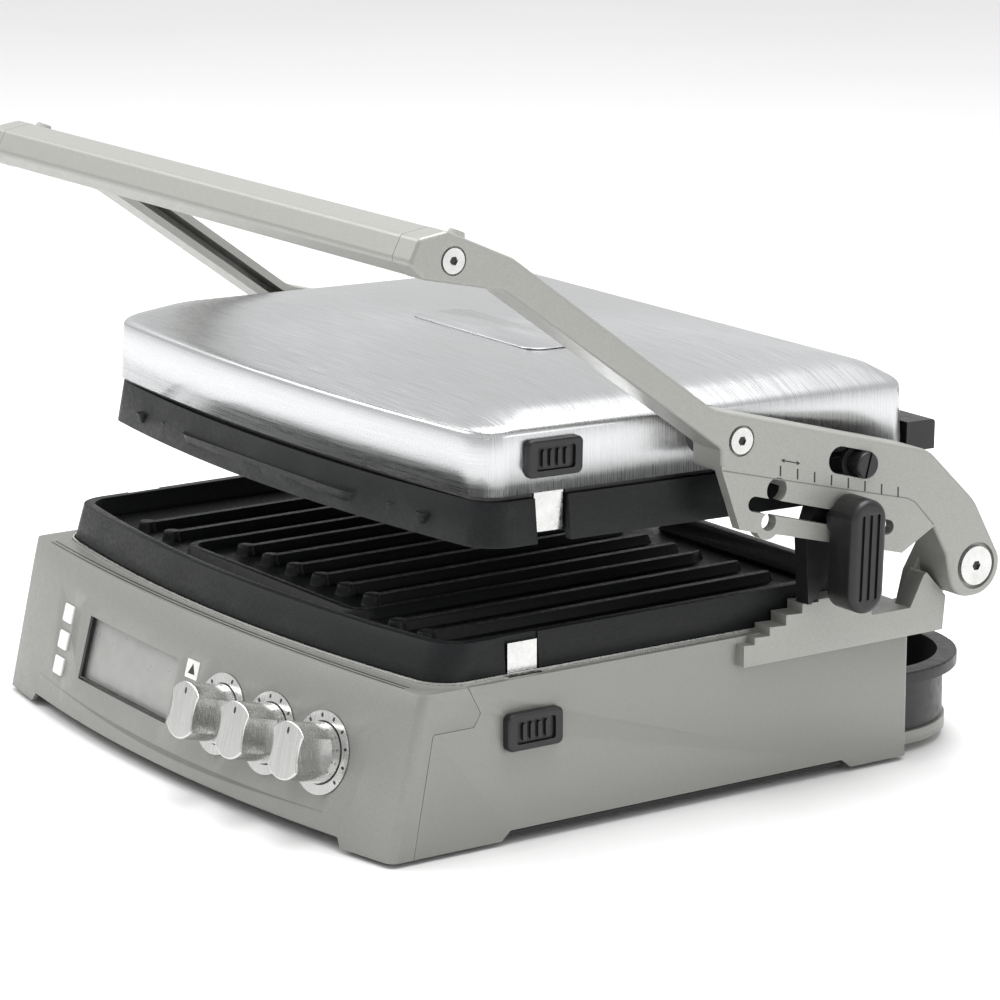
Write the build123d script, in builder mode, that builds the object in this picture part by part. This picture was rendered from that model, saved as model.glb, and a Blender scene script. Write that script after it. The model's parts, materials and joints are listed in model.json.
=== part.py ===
"""Contact grill and panini press: a floating lid on two cranked arms over a base with drip tray.

Lengths are millimetres. The machine's own coordinates are x to the right from its middle plane,
y back from the middle of its plates and z up from the underside of its housing. The work planes
below set them on the model's origin, which is the middle of the footprint on the counter.
"""
import math
import os

from build123d import *

os.makedirs("parts", exist_ok=True)

# Driving dimensions -------------------------------------------------------------------------
wall = 2.6  # moulded housing wall
skin = 1.2  # pressed lid cover
gap = 0.3  # clearance between pieces that move past each other
fit = 0.05  # radial running clearance of a shaft
foot_drop = 2.5  # rubber feet below the housing

# Base housing: a straight-sided box whose front leans back and bows forward.
base_half = 184.0
base_rear = 154.0
deck_z = 77.6
crease_z = 65.5
toe_y, toe_corner_y = -170.0, -152.6
crease_y, crease_corner_y = -152.0, -138.0
brow_y, brow_corner_y = -147.4, -135.0
corner_r = 5.0
skirt_z = 4.5  # underside between the corner feet

# Plates
plate_half = 175.6
plate_draft = 1.4
plate_front, plate_front_corner = -131.5, -115.0
plate_rear = 130.0
plate_lean = 5.3  # how far the front wall runs out towards its foot
plate_base_z, plate_top_z, rim_z = 76.5, 86.0, 96.0
plate_wall = 5.0
rib_high, rib_wide = 4.6, 8.0
rib_pitch = 23.6
loop_half = 80.0
outer_ribs = (106.0, 131.0)

# Hinges and arms, measured on the upright fore-and-aft plane
hinge_y, hinge_z = 182.2, 96.8
float_y, float_z = 35.0, 178.8
arm_inner, arm_outer = 177.6, 200.0
arm_web = 4.0
handle_y, handle_z = -140.0, 284.5
hinge_bolt_r, float_bolt_r = 5.0, 4.0
hinge_head_r, float_head_r = 9.8, 6.4
arm_end_r = 15.4

# Lid, level in its own frame and tipped back a little about its float pivots at rest
tip = 1.2
lid_half = 172.0
lid_front, lid_front_corner = -104.0, -93.0
lid_rear = 161.0
lid_skirt_z, lid_crease_z, lid_brow_z, lid_crown_z = 159.5, 190.5, 198.5, 204.0
upper_half = 175.6
upper_front, upper_front_corner = -108.0, -93.0
upper_rear = 150.0
upper_rim_z, upper_face_z, upper_top_z = 135.8, 145.8, 157.0

# Controls on the leaning face
dial_x = (42.0, 83.0, 124.0)
dial_z = 39.0
dial_r, dial_bore_r = 20.0, 15.2
knob_r, knob_high = 14.0, 22.5
shaft_r = 3.0
window_x, window_z, window_wide, window_high = -50.5, 40.0, 96.0, 33.0
button_x = -122.8
button_z = (51.0, 37.5, 24.5)
button_wide, button_high = 11.0, 9.4
button_travel = 0.8
badge_x, badge_z = 11.0, 53.5

# Plate releases on the right side
lower_catch_y, lower_catch_z = -74.5, 52.8
upper_catch_y, upper_catch_z = -54.5, 176.0
catch_wide, catch_high = 31.5, 18.0
catch_travel = 2.0
clip_wide = 16.6
clip_thick = 1.4
lower_clip_x, lower_pin_z = 175.3, 71.0
upper_clip_x, upper_pin_z = 168.5, 164.0
pin_r = 1.2

# Lever and its slot in the right arm, run from the keyhole to the rear end
slot_wide = 7.5
slot_front, slot_rear = (43.2, 147.0), (125.2, 124.2)
lever_y, lever_z = 94.0, 132.8
pawl_y, pawl_z = 81.8, 90.5
lever_reach = 221.0

# Drip tray and its bay
tray_half = 180.0
tray_front, tray_rear = 156.0, 220.0
tray_corner_r = 58.0
tray_rim_z, tray_floor_z = 41.0, 12.0
bay_rear = 214.0
bay_z = 8.5



def face_y(x, z):
    """Where the bowed and leaning control face stands at a width and a height."""
    share = z / crease_z
    middle = toe_y + (crease_y - toe_y) * share
    corner = toe_corner_y + (crease_corner_y - toe_corner_y) * share
    return middle + (corner - middle) * (x / base_half) ** 2


# The model's origin: the middle of the footprint, on the counter ---------------------------
face_lean = math.atan2(crease_y - toe_y, crease_z)
knob_reach = knob_high * math.cos(face_lean) + knob_r * math.sin(face_lean)
mid_x = (arm_outer - lever_reach) / 2
mid_y = (knob_reach - face_y(dial_x[0], dial_z) - tray_rear) / 2


def level(z):
    """Flat work plane at a height: local x is x and local y is y."""
    return Plane(origin=(mid_x, mid_y, foot_drop + z))


def side(x):
    """Upright fore-and-aft work plane facing right: local x is y and local y is z."""
    return Plane(origin=(mid_x + x, mid_y, foot_drop), x_dir=(0, 1, 0), z_dir=(1, 0, 0))


def front(y):
    """Upright cross work plane facing forward: local x is x and local y is z."""
    return Plane(origin=(mid_x, mid_y + y, foot_drop), x_dir=(1, 0, 0), z_dir=(0, -1, 0))


lean_cos, lean_sin = math.cos(math.radians(tip)), math.sin(math.radians(tip))


def tipped(y, z):
    """Where a point of the level lid stands once the lid is tipped about its float pivots."""
    dy, dz = y - float_y, z - float_z
    return (
        mid_y + float_y + dy * lean_cos + dz * lean_sin,
        foot_drop + float_z - dy * lean_sin + dz * lean_cos,
    )


def lid_level(z):
    """The lid's own flat work plane at a height."""
    y0, z0 = tipped(0, z)
    return Plane(origin=(mid_x, y0, z0), x_dir=(1, 0, 0), z_dir=(0, lean_sin, lean_cos))


def lid_side(x):
    """The lid's own fore-and-aft work plane facing right."""
    y0, z0 = tipped(0, 0)
    return Plane(origin=(mid_x + x, y0, z0), x_dir=(0, lean_cos, -lean_sin), z_dir=(1, 0, 0))


def lid_cross(y):
    """The lid's own cross work plane facing forward."""
    y0, z0 = tipped(y, 0)
    return Plane(origin=(mid_x, y0, z0), x_dir=(1, 0, 0), z_dir=(0, -lean_cos, lean_sin))


def face_plane(x, z, sunk=0.0):
    """Work plane lying on the control face and facing out of it, sunk by a depth."""
    across = Vector(2, face_y(x + 1, z) - face_y(x - 1, z), 0)
    up = Vector(0, face_y(x, z + 1) - face_y(x, z - 1), 2)
    out = across.cross(up).normalized()
    spot = Vector(mid_x + x, mid_y + face_y(x, z), foot_drop + z)
    return Plane(origin=spot - out * sunk, x_dir=across, z_dir=out)


def bowed(half, middle, corner, rear, front_r, rear_r):
    """Plan outline with straight sides and rear and a front that bows forward."""
    with BuildLine() as outline:
        ThreePointArc((-half, corner), (0, middle), (half, corner))
        Polyline((half, corner), (half, rear), (-half, rear), (-half, corner))
    make_face(outline.edges())
    if front_r:
        fillet(vertices().sort_by(Axis.Y)[:2], radius=front_r)
    if rear_r:
        fillet(vertices().sort_by(Axis.Y)[-2:], radius=rear_r)


def base_outline(grow, at=0):
    """Outline of the lower plate's foot, grown or shrunk, drawn on the active sketch."""
    foot_half = plate_half + plate_draft * at
    lean = plate_lean * at
    bowed(
        foot_half + grow,
        plate_front - lean - grow,
        plate_front_corner - lean - grow,
        plate_rear + grow,
        max(18 + grow, 4.0),
        max(12 + grow, 4.0),
    )


def rear_apron(half, rear, start):
    """Plan of the drip tray and its bay: straight in front, with large round rear corners."""
    with Locations((0, (start + rear) / 2)):
        Rectangle(2 * half, rear - start)
    fillet(vertices().sort_by(Axis.Y)[-2:], radius=tray_corner_r - (tray_half - half))


def mirrored(piece):
    """The same piece on the other side of the middle plane."""
    return mirror(piece, about=side(0))


# Base housing and front panel ---------------------------------------------------------------
def base_block(inset, low, high):
    """Outer form of the base, or its cavity when inset, between two heights."""
    leans = (
        (0.0, toe_y, toe_corner_y),
        (crease_z, crease_y, crease_corner_y),
        (deck_z, brow_y, brow_corner_y),
    )
    with BuildPart() as block:
        for z, middle, corner in leans:
            with BuildSketch(level(z)):
                bowed(
                    base_half - inset,
                    middle + inset,
                    corner + inset,
                    base_rear - inset,
                    corner_r,
                    3.0,
                )
        loft(ruled=True)
        with BuildSketch(level(low)):
            Rectangle(1000, 1000)
        extrude(amount=high - low, mode=Mode.INTERSECT)
    return block.part


def seam(grow):
    """Edge of the front panel on the side wall, with its rounded steps, grown by a gap."""
    with BuildLine() as outline:
        FilletPolyline(
            (-300, 120),
            (-110.5 + grow, 120),
            (-110.5 + grow, 78.7),
            (-103 + grow, 64.5),
            (-106.8 + grow, 58.4 - grow),
            (-129.4 + grow, 58.4 - grow),
            (-144.2 + grow, -20),
            (-300, -20),
            radius=1.5,
        )
        Line((-300, -20), (-300, 120))
    make_face(outline.edges())


shell_form = base_block(0, 0, deck_z)
cavity_form = base_block(wall, -1, deck_z - wall)

with BuildPart() as front_panel:
    add(shell_form)
    add(cavity_form, mode=Mode.SUBTRACT)
    with BuildSketch(side(-base_half - 10)):
        seam(0)
    extrude(amount=2 * base_half + 20, mode=Mode.INTERSECT)
    with BuildSketch(level(deck_z - wall - 1)):
        base_outline(1.1, at=1)
    extrude(amount=wall + 2, mode=Mode.SUBTRACT)
    # toe recess between the two corner feet
    with BuildSketch(front(toe_y - 1)):
        with BuildLine():
            Polyline((-150, -1), (150, -1), (146, skirt_z), (-146, skirt_z), close=True)
        make_face()
    extrude(amount=-30, mode=Mode.SUBTRACT)
    # shallow instrument field and the hollow below it
    with BuildSketch(face_plane(window_x, window_z, 6)):
        Rectangle(window_wide, window_high)
    extrude(amount=12, mode=Mode.SUBTRACT)
    for z in button_z:
        with BuildSketch(face_plane(button_x, z, 6)):
            RectangleRounded(button_wide + 2 * gap, button_high + 2 * gap, 1.3)
        extrude(amount=12, mode=Mode.SUBTRACT)
    for x in dial_x:
        with BuildSketch(face_plane(x, dial_z, 0.8)):
            Circle(dial_r + 0.2)
        extrude(amount=3, mode=Mode.SUBTRACT)
        with BuildSketch(face_plane(x, dial_z, 6)):
            Circle(5.2)
        extrude(amount=8, mode=Mode.SUBTRACT)
    with BuildSketch(face_plane(badge_x, badge_z, 0.7)):
        RectangleRounded(11.4, 9.4, 0.8)
    extrude(amount=3, mode=Mode.SUBTRACT)
front_panel.part.label = "front_panel"
export_step(front_panel.part, "parts/front_panel.step")

with BuildPart() as base_housing:
    add(shell_form)
    # rear floor that carries the drip tray
    with BuildSketch(level(2.0)):
        rear_apron(tray_half - 5, bay_rear, 120)
    extrude(amount=bay_z - 2.0)
    add(cavity_form, mode=Mode.SUBTRACT)
    with BuildSketch(side(-base_half - 10)):
        seam(gap)
    extrude(amount=2 * base_half + 20, mode=Mode.SUBTRACT)
    with BuildSketch(level(deck_z - wall - 1)):
        base_outline(1.1, at=1)
    extrude(amount=wall + 2, mode=Mode.SUBTRACT)
    # side arches between the feet, then the rear arch
    with BuildSketch(side(-base_half - 10)):
        with BuildLine():
            Polyline((-92, -1), (-86, skirt_z), (112.5, skirt_z), (119.6, -1), close=True)
        make_face()
    extrude(amount=2 * base_half + 20, mode=Mode.SUBTRACT)
    # right side: window of the plate release, and lugs for the clip's pin
    with BuildSketch(side(base_half - wall - 1)):
        with Locations((lower_catch_y, lower_catch_z)):
            RectangleRounded(catch_wide - 5, catch_high - 5, 2)
    extrude(amount=wall + 2, mode=Mode.SUBTRACT)
    with BuildSketch(level(deck_z - wall - 1)):
        with Locations((lower_clip_x + 1.5, lower_catch_y)):
            Rectangle(7, clip_wide + 3)
    extrude(amount=wall + 2, mode=Mode.SUBTRACT)
    for y in (-1, 1):
        with BuildSketch(side(lower_clip_x)):
            with Locations((lower_catch_y + y * (clip_wide / 2 + 2), lower_pin_z + 1)):
                Rectangle(2.4, 2 * (deck_z - wall - lower_pin_z - 1))
        extrude(amount=base_half - wall - lower_clip_x)
    with BuildSketch(front(lower_catch_y - 20)):
        with Locations((lower_clip_x + clip_thick + 1.8, lower_pin_z)):
            Circle(pin_r)
    extrude(amount=-40, mode=Mode.SUBTRACT)
    # cable outlet low in the rear wall, left of the middle
    with BuildSketch(front(base_rear + 5)):
        with Locations((-120, 55)):
            Circle(7.0)
    extrude(amount=20, mode=Mode.SUBTRACT)
base_housing.part.label = "base_housing"
export_step(base_housing.part, "parts/base_housing.step")

# Underside, feet and hinge brackets -----------------------------------------------------------
cover_z = 3.0  # top face of the bottom cover, flush inside the skirt
cover_half = base_half - wall - gap
foot_r = 12.0
foot_spots = [(x, y) for x in (-158, 158) for y in (-118, 132)]
screw_spots = [(x, y) for x in (-110, 0, 110) for y in (-134, 140)]

with BuildPart() as bottom_cover:
    with BuildSketch(level(cover_z - 2.0)):
        bowed(
            cover_half,
            toe_y + wall + 4,
            toe_corner_y + wall + 4,
            base_rear - wall - gap,
            corner_r,
            3,
        )
        with Locations(*screw_spots):
            Circle(2.1, mode=Mode.SUBTRACT)
    extrude(amount=2.0)
    # stiffening ribs inside
    with BuildSketch(level(cover_z)):
        with GridLocations(0, 60, 1, 4):
            Rectangle(2 * cover_half - 60, 2.0)
    extrude(amount=4.0)
    # vents under the electronics
    with BuildSketch(level(0)):
        with GridLocations(14, 0, 12, 1):
            SlotOverall(26, 4, rotation=90)
    extrude(amount=10, mode=Mode.SUBTRACT)
bottom_cover.part.label = "bottom_cover"
export_step(bottom_cover.part, "parts/bottom_cover.step")

with BuildPart(level(-foot_drop)) as rubber_feet:
    with Locations(*foot_spots):
        Cylinder(foot_r, cover_z - 2.0 + foot_drop, align=(Align.CENTER, Align.CENTER, Align.MIN))
    fillet(edges().group_by(Axis.Z)[0], radius=1.2)
rubber_feet.part.label = "rubber_feet"
export_step(rubber_feet.part, "parts/rubber_feet.step")

with BuildPart(level(-0.6)) as bottom_screws:
    with Locations(*screw_spots):
        Cylinder(3.6, 1.6, align=(Align.CENTER, Align.CENTER, Align.MIN))
        Cylinder(2.0, 12, align=(Align.CENTER, Align.CENTER, Align.MIN))
bottom_screws.part.label = "bottom_screws"
export_step(bottom_screws.part, "parts/bottom_screws.step")

# The hinge bracket stands outside the side wall. Its front is a flight of teeth that the lever's
# pawl rests on, and its ear inside the arm carries the rear pivot.
bracket_out = 190.0
bracket_in = 178.0
bracket_z = 63.8
ear_in, ear_out = 170.4, arm_inner - gap
teeth = ((45.9, 74.6), (52.4, 77.6), (61.5, 81.4), (71.4, 86.0), (81.3, 90.2), (91.2, 90.9))
stop_y, stop_top = 118.0, 97.6


def bracket_profile():
    """Side profile of the bracket: teeth, rear stop, notch for the wiring and sloped tail."""
    points = [(teeth[0][0], bracket_z)]
    for (y, z), (next_y, _) in zip(teeth, teeth[1:] + ((stop_y, 0),)):
        points += [(y, z), (next_y, z - 0.5)]
    points += [(stop_y, stop_top), (124.5, 91.5), (124.5, deck_z + 0.3), (149, deck_z + 0.3)]
    points += [(157.3, 93.4), (159.0, 94.6), (171.6, 81.0), (170.0, bracket_z)]
    with BuildLine() as outline:
        Polyline(*points, close=True)
    make_face(outline.edges())


with BuildPart() as right_bracket:
    with BuildSketch(side(base_half)):
        bracket_profile()
    extrude(amount=bracket_out - base_half)
    # the thick teeth stand on the deck inside the wall
    with BuildSketch(side(bracket_in)):
        bracket_profile()
        with Locations((100, 0)):
            Rectangle(400, 2 * deck_z, mode=Mode.SUBTRACT)
    extrude(amount=base_half - bracket_in)
    # block behind the rear wall, and the ear that rises from it to the pivot
    with BuildSketch(side(ear_in)):
        with BuildLine():
            Polyline(
                (base_rear + gap, bracket_z),
                (base_rear + gap, deck_z + 0.1),
                (160, deck_z + 0.1),
                (160, 79),
                (171.3, 79),
                (170, bracket_z),
                close=True,
            )
        make_face()
    extrude(amount=base_half - ear_in)
    with BuildSketch(side(ear_in)):
        with BuildLine():
            Polyline((154.3, 70), (160, 92), (170, 108), (196, 92), (186, 84), (171.3, 70), close=True)
        make_face()
        with Locations((hinge_y, hinge_z)):
            Circle(14.0)
    extrude(amount=ear_out - ear_in)
    with BuildSketch(side(ear_in - 1)):
        with Locations((hinge_y, hinge_z)):
            Circle(hinge_bolt_r + fit)
    extrude(amount=20, mode=Mode.SUBTRACT)
right_bracket.part.label = "right_bracket"
export_step(right_bracket.part, "parts/right_bracket.step")

left_bracket = mirrored(right_bracket.part)
left_bracket.label = "left_bracket"
export_step(left_bracket, "parts/left_bracket.step")

# screws from inside the housing into each bracket
with BuildPart() as bracket_screws:
    for way in (-1, 1):
        with BuildSketch(side(way * (base_half - wall))):
            with Locations((60, 69), (110, 69), (140, 69)):
                Circle(3.5)
        extrude(amount=-way * 2.0)
        with BuildSketch(side(way * (base_half - wall))):
            with Locations((60, 69), (110, 69), (140, 69)):
                Circle(1.9)
        extrude(amount=way * 6.0)
bracket_screws.part.label = "bracket_screws"
export_step(bracket_screws.part, "parts/bracket_screws.step")

# Hinge bolts: head in the arm's recess, shank through arm and ear, washer head inside
with BuildPart() as hinge_bolts:
    for way in (-1, 1):
        with BuildSketch(side(way * (arm_outer - 1.9))):
            with Locations((hinge_y, hinge_z)):
                Circle(hinge_head_r)
        extrude(amount=way * 2.3)
        with BuildSketch(side(way * (arm_outer - 1.9))):
            with Locations((hinge_y, hinge_z)):
                Circle(hinge_bolt_r)
        extrude(amount=-way * (arm_outer - 1.9 - ear_in + gap + 3))
        with BuildSketch(side(way * (ear_in - gap))):
            with Locations((hinge_y, hinge_z)):
                Circle(8.5)
        extrude(amount=-way * 3.0)
        with BuildSketch(side(way * (arm_outer + 0.5))):
            with Locations((hinge_y, hinge_z)):
                RegularPolygon(2.6, 6)
        extrude(amount=-way * 1.9, mode=Mode.SUBTRACT)
hinge_bolts.part.label = "hinge_bolts"
export_step(hinge_bolts.part, "parts/hinge_bolts.step")

# Arms -----------------------------------------------------------------------------------------
def arm_outline():
    """Side outline of the cranked arm, from the handle block to the round hinge end."""
    end_low, end_back = hinge_z - arm_end_r, hinge_y + arm_end_r
    # corners with their radii, clockwise from the foot of the long sloping top edge
    corners = (
        ((19, 195.7), 24),
        ((150.8, 159.4), 22),
        ((181, 130), 30),
        ((end_back, hinge_z + 3), 10),
        ((end_back, end_low), arm_end_r - 0.2),
        ((hinge_y - 14.0, end_low), 13),
        ((163.0, 105), 10),
        ((153, 123), 6),
        ((23.5, 165), 3),
        ((23.4, 176), 3),
        ((-99, 264.5), 16),
        ((-143.5, 274.5), 4),
        ((-151.5, 282.5), 3),
        ((-146, 293.5), 3),
        ((-131, 295.5), 4),
        ((-95, 279.5), 14),
    )
    spots, radii = zip(*corners)
    with BuildLine() as outline:
        FilletPolyline(*spots, radius=list(radii), close=True)
    make_face(outline.edges())


def slot_plate():
    """Side outline of the thin plate below the arm that holds the lever's slot."""
    with BuildLine() as outline:
        Polyline(
            (23.5, 168),
            (23.5, 166),
            (34.7, 135.6),
            (44, 133),
            (60, 129.5),
            (134.5, 110),
            (155, 121),
            (159, 128),
            (118, 138),
            close=True,
        )
    make_face(outline.edges())
    with Locations((51.5, 135.5)):
        Circle(7.0)


slot_length = math.dist(slot_front, slot_rear)
slot_turn = math.degrees(math.atan2(slot_rear[1] - slot_front[1], slot_rear[0] - slot_front[0]))
slot_middle = ((slot_front[0] + slot_rear[0]) / 2, (slot_front[1] + slot_rear[1]) / 2)
lock_middle, lock_length, lock_wide = (102.8, 159.4), 30.5, 13.6


def arm_casting(with_lever):
    """The right arm: an open channel, with slots that only the lever's side has cut."""
    with BuildPart() as arm:
        with BuildSketch(side(arm_inner)):
            arm_outline()
        extrude(amount=arm_outer - arm_inner)
        fillet(edges().group_by(Axis.X)[-1], radius=2.0)
        with BuildSketch(side(arm_inner)):
            arm_outline()
            offset(amount=-arm_web, mode=Mode.REPLACE)
        extrude(amount=arm_outer - arm_inner - arm_web, mode=Mode.SUBTRACT)
        with BuildSketch(side(arm_outer)):
            slot_plate()
        extrude(amount=-6.0)
        # solid stock round the pivots and at the handle end
        with BuildSketch(side(arm_inner)):
            with Locations((hinge_y, hinge_z)):
                Circle(arm_end_r - 1.2)
            with Locations((float_y, float_z)):
                Circle(11.0)
        extrude(amount=arm_outer - arm_inner - 1)
        with BuildSketch(side(185.2)):
            arm_outline()
            with Locations((40, 200)):
                Rectangle(300, 400, mode=Mode.SUBTRACT)
        extrude(amount=12)
        # room for the handle bar between the two arms
        with BuildSketch(side(170)):
            with Locations((-140, 280)):
                Rectangle(52, 60)
        extrude(amount=15.2, mode=Mode.SUBTRACT)
        # bores with recesses for the bolt heads
        for y, z, bore, recess, deep in (
            (hinge_y, hinge_z, hinge_bolt_r + fit, hinge_head_r + 2.0, 2.2),
            (float_y, float_z, float_bolt_r + fit, float_head_r + 1.2, 1.7),
            (-128, 281.7, 2.6, 6.8, 1.7),
        ):
            with BuildSketch(side(165)):
                with Locations((y, z)):
                    Circle(bore)
            extrude(amount=50, mode=Mode.SUBTRACT)
            with BuildSketch(side(arm_outer - deep)):
                with Locations((y, z)):
                    Circle(recess)
            extrude(amount=5, mode=Mode.SUBTRACT)
        if with_lever:
            with BuildSketch(side(165)):
                with Locations(slot_middle):
                    SlotCenterToCenter(slot_length, slot_wide, rotation=slot_turn)
                with Locations((56.5, 152.2)):
                    Circle(6.0)
                with Locations((52.0, 137.0)):
                    Circle(4.4)
                with Locations(lock_middle):
                    SlotOverall(lock_length, lock_wide, rotation=slot_turn)
            extrude(amount=50, mode=Mode.SUBTRACT)
    return arm.part


right_arm = arm_casting(True)
right_arm.label = "right_arm"
export_step(right_arm, "parts/right_arm.step")
left_arm = mirrored(arm_casting(False))
left_arm.label = "left_arm"
export_step(left_arm, "parts/left_arm.step")

# Handle ---------------------------------------------------------------------------------------
bar_end = 184.8


def handle_section(grow):
    """Six-sided grip section with rounded corners."""
    corners = ((-151.5, 282.5), (-146, 293.5), (-131, 295.5), (-119, 287), (-123, 276), (-143.5, 274.5))
    with BuildLine() as outline:
        FilletPolyline(*corners, radius=3.0, close=True)
    make_face(outline.edges())
    if grow:
        offset(amount=grow, mode=Mode.REPLACE)


with BuildPart() as handle_bar:
    with BuildSketch(side(-bar_end)):
        handle_section(0)
    extrude(amount=2 * bar_end)
    with BuildSketch(side(-bar_end)):
        handle_section(-3.0)
    extrude(amount=2 * bar_end, mode=Mode.SUBTRACT)
handle_bar.part.label = "handle_bar"
export_step(handle_bar.part, "parts/handle_bar.step")

# plugs inside the bar's ends, which the handle screws pull against
with BuildPart() as handle_plugs:
    for way in (-1, 1):
        with BuildSketch(side(way * bar_end)):
            handle_section(-3.1)
            with Locations((-128, 281.7)):
                Circle(2.1, mode=Mode.SUBTRACT)
        extrude(amount=-way * 22)
handle_plugs.part.label = "handle_plugs"
export_step(handle_plugs.part, "parts/handle_plugs.step")

with BuildPart() as handle_screws:
    for way in (-1, 1):
        with BuildSketch(side(way * (arm_outer - 1.7))):
            with Locations((-128, 281.7)):
                Circle(5.9)
        extrude(amount=way * 1.9)
        with BuildSketch(side(way * (arm_outer - 1.7))):
            with Locations((-128, 281.7)):
                Circle(2.1)
        extrude(amount=-way * 26)
        with BuildSketch(side(way * (arm_outer + 0.3))):
            with Locations((-128, 281.7)):
                RegularPolygon(2.2, 6)
        extrude(amount=-way * 1.5, mode=Mode.SUBTRACT)
handle_screws.part.label = "handle_screws"
export_step(handle_screws.part, "parts/handle_screws.step")

# rubber nubs on top of the arms, which the open grill lies on
nub_x, nub_y, nub_z = 191.0, -121.0, 291.0
nub_lean = math.degrees(math.atan2(295.5 - 279.5, -95 + 131))
with BuildPart() as handle_nubs:
    for way in (-1, 1):
        with BuildSketch(
            Plane(
                origin=(mid_x + way * nub_x, mid_y + nub_y, foot_drop + nub_z + 0.06),
                x_dir=(1, 0, 0),
                z_dir=(0, math.sin(math.radians(nub_lean)), math.cos(math.radians(nub_lean))),
            )
        ):
            Circle(4.5)
        extrude(amount=2.6, taper=20)
handle_nubs.part.label = "handle_nubs"
export_step(handle_nubs.part, "parts/handle_nubs.step")

# Float pivots: shouldered bolts that the lid rocks on between the arms
boss_half = 177.2
with BuildPart() as float_bolts:
    for way in (-1, 1):
        with BuildSketch(side(way * (arm_outer - 1.4))):
            with Locations((float_y, float_z)):
                Circle(float_head_r)
        extrude(amount=way * 1.9)
        with BuildSketch(side(way * (arm_outer - 1.4))):
            with Locations((float_y, float_z)):
                Circle(float_bolt_r)
        extrude(amount=-way * (arm_outer - 1.4 - 160.5))
        with BuildSketch(side(way * (arm_outer + 0.5))):
            with Locations((float_y, float_z)):
                RegularPolygon(2.4, 6)
        extrude(amount=-way * 1.5, mode=Mode.SUBTRACT)
float_bolts.part.label = "float_bolts"
export_step(float_bolts.part, "parts/float_bolts.step")

# Lower plate and the reflector under it ---------------------------------------------------------
lug_y = lower_catch_y
rib_ys = (-82.0, 100.0)
outer_rib_ys = (-98.0, 104.0)
loop_front_y, loop_corner_r = -104.0, 13.0
inner_rib_x = [rib_pitch * (k - 2.5) for k in range(6)]
outer_rib_x = [way * x for way in (-1, 1) for x in outer_ribs]


def grill_rib(x, start, end):
    """One straight rib with round ends on the active upward sketch, to be raised with a taper."""
    with Locations((x, (start + end) / 2)):
        SlotOverall(end - start + rib_wide, rib_wide, rotation=90)


def loop_rib():
    """Square-cornered loop round the middle ribs, open at the rear."""
    long = outer_rib_ys[1] - loop_front_y
    outer, inner = loop_half + rib_wide / 2, loop_half - rib_wide / 2
    middle_y = (loop_front_y + outer_rib_ys[1]) / 2
    with Locations((0, middle_y)):
        RectangleRounded(2 * outer, long + rib_wide, loop_corner_r)
    with Locations((0, middle_y + rib_wide)):
        RectangleRounded(2 * inner, long + rib_wide, loop_corner_r - rib_wide, mode=Mode.SUBTRACT)


with BuildPart() as lower_plate:
    with BuildSketch(level(plate_base_z)):
        base_outline(0, at=1)
    with BuildSketch(level(rim_z)):
        base_outline(0)
    loft(ruled=True)
    with BuildSketch(level(rim_z + 1)):
        base_outline(-plate_wall)
    extrude(amount=-(rim_z + 1 - plate_top_z), taper=6, mode=Mode.SUBTRACT)
    with BuildSketch(level(plate_base_z)):
        base_outline(-plate_wall, at=1)
    extrude(amount=plate_top_z - plate_base_z - 5.5, mode=Mode.SUBTRACT)
    with BuildSketch(level(plate_top_z - 0.5)):
        loop_rib()
        for x in inner_rib_x:
            grill_rib(x, *rib_ys)
        for x in outer_rib_x:
            grill_rib(x, *outer_rib_ys)
    extrude(amount=rib_high + 0.5, taper=22)
    with BuildSketch(level(plate_top_z - 0.5)):
        with Locations(*[(x, rib_ys[0]) for x in inner_rib_x]):
            Circle(5.2)
        with Locations(*[(x, outer_rib_ys[0]) for x in outer_rib_x]):
            Circle(5.2)
    extrude(amount=rib_high + 1.2, taper=14)
    # grease spout through the rear wall
    with BuildSketch(front(plate_rear + 20)):
        with Locations((0, plate_top_z + 3)):
            SlotOverall(34, 6.5)
    extrude(amount=30, mode=Mode.SUBTRACT)
    # notches that the clips hook into, one each side
    for way in (-1, 1):
        with BuildSketch(level(plate_base_z - 1)):
            with Locations((way * (lower_clip_x + 4), lug_y)):
                Rectangle(2 * (4 + 1.2), clip_wide + 2.4)
        extrude(amount=30, mode=Mode.SUBTRACT)
lower_plate.part.label = "lower_plate"
export_step(lower_plate.part, "parts/lower_plate.step")

pan_floor_z, pan_step_z = 46.0, 69.5
with BuildPart() as lower_reflector:
    with BuildSketch(level(pan_step_z)):
        base_outline(0.8, at=1)
    extrude(amount=plate_base_z - pan_step_z)
    with BuildSketch(level(pan_step_z + 1)):
        base_outline(-1.0, at=1)
    extrude(amount=10, mode=Mode.SUBTRACT)
    with BuildSketch(level(pan_floor_z)):
        base_outline(-15.0, at=1)
    extrude(amount=pan_step_z - pan_floor_z + 0.5)
    with BuildSketch(level(pan_floor_z + 1)):
        base_outline(-16.0, at=1)
    extrude(amount=30, mode=Mode.SUBTRACT)
    # flange under the deck
    with BuildSketch(level(deck_z - wall - 1.0)):
        base_outline(3.6, at=1)
    extrude(amount=0.9)
    with BuildSketch(level(pan_step_z + 1)):
        base_outline(-1.0, at=1)
    extrude(amount=10, mode=Mode.SUBTRACT)
    with BuildSketch(level(pan_step_z - 1)):
        with Locations((lower_clip_x + 3, lug_y), (-lower_clip_x - 3, lug_y)):
            Rectangle(16, clip_wide + 9)
    extrude(amount=20, mode=Mode.SUBTRACT)
lower_reflector.part.label = "lower_reflector"
export_step(lower_reflector.part, "parts/lower_reflector.step")


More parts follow.
